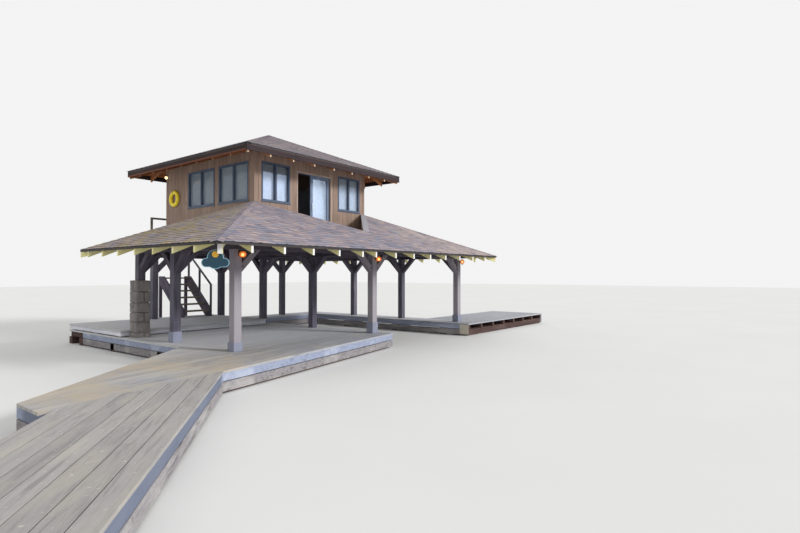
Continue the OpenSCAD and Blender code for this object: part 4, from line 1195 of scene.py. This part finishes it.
def wall_regions(length, openings):
    """A wall's face as rectangles between, below and above its openings."""
    regions = []
    at = 0.0
    for left, right, low, high in openings:
        regions.append((at, left, CLAD_Z0, CLAD_Z1))
        if low > CLAD_Z0:
            regions.append((left, right, CLAD_Z0, low))
        regions.append((left, right, high, CLAD_Z1))
        at = right
    regions.append((at, length, CLAD_Z0, CLAD_Z1))
    return regions


clad = []
for seed, (start, along, windows, doors) in enumerate(WALLS, 71):
    h = Vector((*along, 0))
    axis, length = (0, CAB_X1 - CAB_X0) if along[0] else (1, CAB_Y1 - CAB_Y0)
    foot = Vector((*start, 0))
    outlines = [patch(foot + h * a + UP * low, h * (b - a), UP * (high - low))
                for a, b, low, high in wall_regions(length, openings_of(start[axis], windows, doors))]
    clad.append(laid(foot + UP * CLAD_Z0, UP, h, CLAD_RUN, length, outlines, UP.cross(h), siding_wood, seed,
                     piece=4.0, row=0.2, cover=0.193, thickness=CLAD_T))
piece_of("cladding", clad, siding_wood, "siding")
for material, names in (
        (lining_paint, "front_wall_left front_wall_right wall_over_door left_wall right_wall back_wall"),
        (felt, "roof_front roof_left roof_right roof_back upper_roof"), (clear_pane, "window_glass")):
    for node in names.split():
        nodes[node].material_slots[0].material = material

TRIM_W, TRIM_T = 0.075, 0.02
trims = []
for (x, y), (sx, sy) in zip(CABIN, ((1, 1), (-1, 1), (-1, -1), (1, -1))):
    for dx, dy in (((-TRIM_T, TRIM_W), (-TRIM_T, 0)), ((-TRIM_T, 0), (0, TRIM_W))):
        xs = sorted(x + sx * d for d in dx)
        ys = sorted(y + sy * d for d in dy)
        trims.append(((xs[0], ys[0], CLAD_Z0), (xs[1], ys[1], CLAD_Z1)))
board_piece("corner_boards", trims, siding_wood, "siding", 0.003, 75, UP)

# Windows and doors
PROUD = 0.02
LEAF_X, LEAF_Y = (3.9, 4.68), (1.928, 1.98)


def joinery(name, node, seed, materials, slot="frame_paint", leaf=None):
    """Frames or a door with soft edges, brought a little in front of the cladding."""
    bm = merged_copy(node)
    for vert in bm.verts:
        for axis, plane, way in ((0, CAB_X0, -1), (0, CAB_X1, 1), (1, CAB_Y0, -1), (1, CAB_Y1, 1)):
            if abs(vert.co[axis] - plane) < 0.0005:
                vert.co[axis] += way * PROUD
    mark_grain(bm, seed, UP)
    for face in bm.faces:
        face.material_index = int(bool(leaf and leaf(face.calc_center_median())))
    soften(piece_of(name, [bm], materials, slot, (node,)), 0.003)


def is_fixed_leaf(place):
    """The leaf of the front door that stands in the frame."""
    return LEAF_X[0] < place.x < LEAF_X[1] and LEAF_Y[0] < place.y < LEAF_Y[1]


joinery("casements", "window_frames", 91, slate_paint)
joinery("door_casings", "door_frame", 92, [casing_paint, door_blue], leaf=is_fixed_leaf)
joinery("slider", "sliding_door", 93, door_blue)
joinery("rear_door", "back_door", 94, door_blue, "door_paint")

# Slatted blinds, hung behind the panes
BLIND_IN = 0.012
TOP_BAND = 4.83
BLIND_FOOT, BLIND_HEAD = SILL_Z + 0.01, HEAD_Z - 0.01
RAIL_Z = SILL_Z + 0.04
FRONT_PLANE, RIGHT_PLANE, BACK_PLANE = 1.985, 6.07, 6.21


def slats(x, y, along, width, low, high, material, seed, tilt):
    """A slatted blind on an upright face."""
    u = point(*along)
    origin = Vector((x, y, low))
    return laid(origin, u, UP, width, high - low, [patch(origin, u * width, UP * (high - low))], UP.cross(u),
                material, seed, piece=width, row=0.027, cover=0.03, thickness=0.0016, tilt=tilt)


white_slats = []
grey_slats = []
for order, (x0, x1) in enumerate(FRONT_WINDOWS):
    hung = (x0 + BLIND_IN, FRONT_PLANE, (1, 0), x1 - x0 - 2 * BLIND_IN)
    white_slats.append(slats(*hung, BLIND_FOOT, TOP_BAND, blind_white_glow, 101 + order, 0.12))
    grey_slats.append(slats(*hung, TOP_BAND, BLIND_HEAD, blind_grey, 105 + order, 0.5))
door_slats = slats(3.945, 2.0, (1, 0), 0.7, 3.14, 4.93, blind_lit, 109, 0.12)
piece_of("door_blind", [door_slats], blind_lit, "frame_paint")
for order, (y0, y1) in enumerate(SIDE_WINDOWS):
    width = y1 - y0 - 2 * BLIND_IN
    grey_slats.append(slats(FRONT_PLANE, y1 - BLIND_IN, (0, -1), width, RAIL_Z, BLIND_HEAD, blind_grey,
                            111 + order, 0.3))
    grey_slats.append(slats(RIGHT_PLANE, y0 + BLIND_IN, (0, 1), width, BLIND_FOOT, BLIND_HEAD, blind_grey,
                            115 + order, 0.2))
x0, x1 = BACK_WINDOW
grey_slats.append(slats(x1 - BLIND_IN, BACK_PLANE, (-1, 0), x1 - x0 - 2 * BLIND_IN, BLIND_FOOT, BLIND_HEAD,
                        blind_grey, 119, 0.2))
piece_of("white_blinds", white_slats, blind_white_glow, "frame_paint")
piece_of("grey_blinds", grey_slats, blind_grey, "frame_paint")
rails = [((1.97, y0 + BLIND_IN, SILL_Z + 0.012), (2.0, y1 - BLIND_IN, RAIL_Z)) for y0, y1 in SIDE_WINDOWS]
board_piece("blind_rails", rails, blind_white_glow, "frame_paint", 0.003, 121)

# Sills outside, a touch wider than the frames
SILL_PAST, SILL_OUT, SILL_OFF, SILL_T = 0.02, 0.032, 0.002, 0.028
sills = []
for x0, x1 in FRONT_WINDOWS:
    sills.append((x0 - SILL_PAST, CAB_Y0 - SILL_OUT, x1 + SILL_PAST, CAB_Y0 - SILL_OFF))
for y0, y1 in SIDE_WINDOWS:
    sills.append((CAB_X0 - SILL_OUT, y0 - SILL_PAST, CAB_X0 - SILL_OFF, y1 + SILL_PAST))
    sills.append((CAB_X1 + SILL_OFF, y0 - SILL_PAST, CAB_X1 + SILL_OUT, y1 + SILL_PAST))
x0, x1 = BACK_WINDOW
sills.append((x0 - SILL_PAST, CAB_Y1 + SILL_OFF, x1 + SILL_PAST, CAB_Y1 + SILL_OUT))
sills = [((x0, y0, SILL_Z - SILL_T), (x1, y1, SILL_Z)) for x0, y0, x1, y1 in sills]
board_piece("window_sills", sills, slate_paint, "frame_paint", 0.004, 122)


# Turned and round pieces
def turn_of(k, count):
    return 2 * math.pi * k / count


def lathe(profile, centre, segments=32, turn=None):
    """A closed round body from its half outline, which starts and ends on the axis."""
    bm = bmesh.new()
    rings = []
    for radius, height in profile:
        turns = [turn_of(k, segments) for k in range(segments)] if radius else [0]
        rings.append([bm.verts.new((radius * math.cos(a), radius * math.sin(a), height)) for a in turns])
    for lower, upper in zip(rings, rings[1:]):
        for k in range(segments):
            n = (k + 1) % segments
            corners = [ring[i % len(ring)] for ring, i in ((lower, k), (lower, n), (upper, n), (upper, k))]
            bm.faces.new(list(dict.fromkeys(corners)))
    bmesh.ops.recalc_face_normals(bm, faces=bm.faces)
    if turn:
        bmesh.ops.transform(bm, matrix=turn, verts=bm.verts)
    bmesh.ops.translate(bm, vec=centre, verts=bm.verts)
    for face in bm.faces:
        face.smooth = True
    return bm


def ball(radius, height, centre, steps, stretch, segments):
    """A ball a little taller than wide."""
    turns = [math.pi * k / steps for k in range(1, steps)]
    reach = radius * stretch
    side = [(radius * math.sin(a), height - reach * math.cos(a)) for a in turns]
    return lathe([(0, height - reach), *side, (0, height + reach)], centre, segments)


# Lanterns on the front row of posts
POST_XS = (0.0, 4.465, 8.93)
LAMP_SIDE, LAMP_Y = 0.0475, -0.192
GLOBE_R, GLOBE_Z = 0.076, 2.467
BULB_R, BULB_Z = 0.031, 2.458
PLATE_HALF, ARM_HALF = 0.045, 0.009
CAP_PROFILE = [(0, 2.53), (0.034, 2.53), (0.046, 2.527), (0.047, 2.532), (0.026, 2.544), (0.01, 2.551),
               (0, 2.552)]
FOOT_PROFILE = [(0, 2.352), (0.008, 2.355), (0.012, 2.363), (0.007, 2.371), (0.016, 2.38), (0.03, 2.39),
                (0.04, 2.402), (0.041, 2.408), (0.036, 2.41), (0, 2.41)]
globes = []
bulbs = []
fittings = []
for post_x in POST_XS:
    x = post_x + LAMP_SIDE
    centre = point(x, LAMP_Y)
    globes.append(ball(GLOBE_R, GLOBE_Z, centre, 18, 1.02, 36))
    bulbs.append(ball(BULB_R, BULB_Z, centre, 10, 1.25, 20))
    fittings += [lathe(CAP_PROFILE, centre), lathe(FOOT_PROFILE, centre),
                 block((x - PLATE_HALF, -0.108, 2.44), (x + PLATE_HALF, -0.093, 2.56)),
                 block((x - ARM_HALF, LAMP_Y, 2.528), (x + ARM_HALF, -0.1, 2.546))]
piece_of("lamp_globes", globes, amber, "lamp_amber", ("lanterns",))
piece_of("lamp_bulbs", bulbs, lamp_bulb, "lamp_amber")
soften(piece_of("lamp_fittings", fittings, lamp_metal, "rail_metal"), 0.002)

# Small lamp under the upper left eave
HUNG_R, HUNG_Z = 0.04, 4.925
hung_at = point(1.4, 5.5)
rod = lathe([(0, 4.972), (0.004, 4.972), (0.004, 5.375), (0, 5.375)], hung_at, 10)
shade = lathe([(0, 4.992), (0.012, 4.99), (0.05, 4.962), (0.052, 4.957), (0, 4.957)], hung_at, 28)
soften(piece_of("hung_lamp_cap", [rod, shade], lamp_metal, "rail_metal"), 0.001)
piece_of("hung_lamp_globe", [ball(HUNG_R, HUNG_Z, hung_at, 12, 1.05, 28)], lamp_bulb, "lamp_amber")

# Life ring on its hook, thicker in four bands
RING_AT = Vector((1.822, 5.80, 4.37))
RING_R, RING_TUBE, RING_FLAT = 0.196, 0.058, 0.9
AROUND, TUBE, BAND = 96, 24, 24
ring = bmesh.new()
loops = []
for k in range(AROUND):
    a = turn_of(k, AROUND)
    tube = RING_TUBE * (1.07 if abs((k + BAND // 2) % BAND - BAND // 2) < 3 else 1.0)
    loops.append([])
    for b in (turn_of(j, TUBE) for j in range(TUBE)):
        reach = RING_R + tube * math.cos(b)
        spot = Vector((tube * RING_FLAT * math.sin(b), reach * math.cos(a), reach * math.sin(a)))
        loops[-1].append(ring.verts.new(RING_AT + spot))
for k, near in enumerate(loops):
    far = loops[(k + 1) % AROUND]
    for j in range(TUBE):
        n = (j + 1) % TUBE
        ring.faces.new((near[j], far[j], far[n], near[n])).smooth = True
bmesh.ops.recalc_face_normals(ring, faces=ring.faces)
piece_of("ring", [ring], ring_yellow, "ring_foam", ("life_ring",))
hook = [((1.775, 5.78, 4.54), (1.866, 5.82, 4.56)), ((1.765, 5.78, 4.54), (1.777, 5.82, 4.60)),
        ((1.858, 5.77, 4.50), (1.868, 5.83, 4.62))]
board_piece("ring_hook", hook, lamp_metal, "rail_metal", 0.003, 131)

# Hanging board: a sunk face inside a pale edge, with a boss
BOSS_R, BOSS_DOWN = 0.062, 0.088
PALE_EDGE, SUNK = 0.013, 0.004
bm = merged_copy("hanging_board")
bmesh.ops.dissolve_limit(bm, angle_limit=0.02, verts=bm.verts[:], edges=bm.edges[:])
bm.normal_update()
facing = point(-1, -1).normalized()
fronts = [face for face in bm.faces if abs(face.normal.dot(facing)) > 0.95]
spots = [vert.co.copy() for face in fronts for vert in face.verts if face.normal.dot(facing) > 0]
for face in bm.faces:
    face.material_index = 1
for face in fronts:
    bmesh.ops.inset_individual(bm, faces=[face], thickness=PALE_EDGE, depth=0.0)
    face.material_index = 0
    bmesh.ops.inset_individual(bm, faces=[face], thickness=0.003, depth=-SUNK)
soften(piece_of("plaque", [bm], [plaque_teal, plaque_edge], "board_paint", ("hanging_board",)), 0.002)
middle = (min(spots, key=lambda spot: spot.x) + max(spots, key=lambda spot: spot.x)) / 2
middle.z = max(spot.z for spot in spots) - BOSS_DOWN
dome = [(0, -0.006), (BOSS_R * 0.96, -0.006), (BOSS_R, 0.002), (BOSS_R * 0.9, 0.008), (0, 0.012)]
boss = lathe(dome, middle, 40, facing.to_track_quat("Z", "Y").to_matrix().to_4x4())
piece_of("plaque_boss", [boss], gold_paint, "board_paint")

# Metal rail of the stair, cap of the balcony's cheek, wraps round the posts' feet with their bands
timber_piece("rail_of_stair", "stair_rail", rail_steel, "rail_metal", 0.006, 132)
timber_piece("cheek_cap", "balcony_cap", cap_finish, "cap_paint", 0.004, 133)
wraps = timber_piece("foot_wraps", "post_wraps", wrap_finish, "wrap_foam", 0.012, 134, UP)
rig.padded(wraps, fill=1)
BAND_OUT, BAND_T, BAND_HALF = 0.003, 0.012, 0.008
bands = []
bm = merged_copy("post_wraps")
for part in islands(bm):
    x0, y0, foot = [min(vert.co[i] for vert in part) for i in range(3)]
    x1, y1, head = [max(vert.co[i] for vert in part) for i in range(3)]
    x0, y0, x1, y1 = x0 - BAND_OUT, y0 - BAND_OUT, x1 + BAND_OUT, y1 + BAND_OUT
    for z in (foot + (head - foot) * 0.25, foot + (head - foot) * 0.75):
        for lo, hi in (((x0, y0), (x1, y0 + BAND_T)), ((x0, y1 - BAND_T), (x1, y1)),
                       ((x0, y0 + BAND_T), (x0 + BAND_T, y1 - BAND_T)),
                       ((x1 - BAND_T, y0 + BAND_T), (x1, y1 - BAND_T))):
            bands.append(((*lo, z - BAND_HALF), (*hi, z + BAND_HALF)))
bm.free()
board_piece("wrap_bands", bands, wrap_finish, "wrap_foam", 0.002, 135)

# Handle of the sliding door: a grip on two short arms
HANDLE_X, HANDLE_Z0, HANDLE_Z1 = 3.92, 3.93, 4.13
GRIP_HALF, HOLD_HALF, HOLD_H, HOLD_IN = 0.011, 0.009, 0.023, 0.012
arms = [((HANDLE_X - HOLD_HALF, 1.858, low), (HANDLE_X + HOLD_HALF, 1.892, low + HOLD_H))
        for low in (HANDLE_Z0 + HOLD_IN, HANDLE_Z1 - HOLD_IN - HOLD_H)]
grip = ((HANDLE_X - GRIP_HALF, 1.845, HANDLE_Z0), (HANDLE_X + GRIP_HALF, 1.86, HANDLE_Z1))
board_piece("door_handle", [grip, *arms], handle_white, "frame_paint", 0.004, 136)

# Stone pier in rough courses of two stones
PIER_X0, PIER_Y0, PIER_W = -0.19, 3.99, 0.38
CORE_IN, CORE_TOP = 0.03, 1.87
COURSES = (0.0, 0.27, 0.52, 0.8, 1.05, 1.3, 1.6, 1.88)
WORN_FROM, WORN_BY, ROUGHNESS = 0.55, 0.07, 0.012


def rough_block(lo, hi, seed):
    """A stone with worn edges and uneven faces."""
    bm = block(lo, hi)
    bmesh.ops.subdivide_edges(bm, edges=bm.edges[:], cuts=5, use_grid_fill=True)
    centre = (Vector(lo) + Vector(hi)) / 2
    reach = (Vector(hi) - Vector(lo)) / 2
    for vert in bm.verts:
        out = vert.co - centre
        edge = sorted(abs(out[i]) / reach[i] for i in range(3))[1]
        pull = 1 - WORN_BY * max(0.0, edge - WORN_FROM) / (1 - WORN_FROM)
        bumps = noise.noise_vector(vert.co * 9 + point(seed * 3.7, 0)) * ROUGHNESS
        vert.co = centre + out * pull + bumps
    for face in bm.faces:
        face.smooth = True
    return bm


stones = []
for row, (low, high) in enumerate(zip(COURSES, COURSES[1:])):
    split = 0.42 + 0.16 * (row % 2)
    for order, (a, b) in enumerate(((0.0, split), (split, 1.0))):
        spans = [(0.0, 1.0), (0.0, 1.0)]
        spans[(row + 1) % 2] = (a, b)
        lo, hi = [(PIER_X0 + PIER_W * across, PIER_Y0 + PIER_W * inward) for across, inward in zip(*spans)]
        stones.append(rough_block((*lo, low), (*hi, high), row * 2 + order))
piece_of("pier_stones", stones, pier_rock, "pier_stone", ("stone_pier",))
core = ((PIER_X0 + CORE_IN, PIER_Y0 + CORE_IN, 0.0),
        (PIER_X0 + PIER_W - CORE_IN, PIER_Y0 + PIER_W - CORE_IN, CORE_TOP))
board_piece("pier_core", [core], mortar, "pier_stone", 0.004, 137)

# Bolts near both ends of the braces, on both sides
BOLT_BACK, BOLT_R, WASHER_R = 0.13, 0.014, 0.024
spots = []
bm = merged_copy("braces")
for part in islands(bm):
    run = main_axis(part)
    side = UP.cross(run).normalized()
    centre = middle_of(part)
    reach = max((vert.co - centre).dot(run) for vert in part) - BOLT_BACK
    deep = max((vert.co - centre).dot(side) for vert in part) + MM
    spots += [(centre + run * way * reach + side * hand * deep, side * hand)
              for way in (-1, 1) for hand in (-1, 1)]
bm.free()
mesh = bpy.data.meshes.new("spots")
mesh.from_pydata([spot for spot, _ in spots], [], [])
facings = mesh.attributes.new("facing", "FLOAT_VECTOR", "POINT")
for index, (_, way) in enumerate(spots):
    facings.data[index].vector = way
heads = grown(BOLT_HEADS, {"Head": BOLT_R, "Rise": BOLT_R * 0.6, "Washer": WASHER_R, "Material": steel}, mesh)
declare(link(heads, "brace_bolts", steel), "rail_metal")

# Pale board on the slip corner of the right dock
GUARD_T, GUARD_RUN, GUARD_Z0, GUARD_DOWN = 0.014, 0.33, 0.05, 0.03
guard = ((RIGHT_X0 - GUARD_T, RIGHT_Y0, GUARD_Z0), (RIGHT_X0, RIGHT_Y0 + GUARD_RUN, DECK_Z - GUARD_DOWN))
board_piece("corner_guard", [guard], guard_paint, "crib_timber", 0.003, 138, UP)

# Light and backdrop
SKY_LIGHT, SKY_SHOWN = 0.74, 0.9
FLOOR_REACH = 90
world = bpy.data.worlds.new("soft sky")
scene.world = world
world.use_nodes = True
sky = world.node_tree
rays = put(sky, "ShaderNodeLightPath")
shown = Number(rays["Is Camera Ray"]) + rays["Is Glossy Ray"] + rays["Is Transmission Ray"]
feed(sky.nodes["Background"], {"Color": shown.blend((*[SKY_LIGHT] * 3, 1), (*[SKY_SHOWN] * 3, 1))})
lamp = bpy.data.lights.new("window light", "SUN")
lamp.energy = 2.2
lamp.angle = math.radians(12)
sun = added("window light", lamp)
sun.rotation_euler = Vector((-0.28, 0.86, -0.4)).to_track_quat("-Z", "Y").to_euler()
floor_paint, tree, shader, place = new_finish("pale floor")
cloud = noise_of(place, 0.3, 3.0, 0.5)
feed(shader, {"Base Color": cloud.blend((0.74, 0.74, 0.73, 1), (0.8, 0.8, 0.79, 1)), "Roughness": 0.85})
mesh = bpy.data.meshes.new("floor")
mesh.from_pydata(rectangle(-FLOOR_REACH, -FLOOR_REACH, FLOOR_REACH, FLOOR_REACH), [], [(0, 1, 2, 3)])
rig.stage(link(mesh, "floor", floor_paint))

bpy.context.view_layer.update()
with open("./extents.json", "w") as out:
    json.dump([[list(corner) for corner in cad_box], [list(corner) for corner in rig.bounds()]], out)
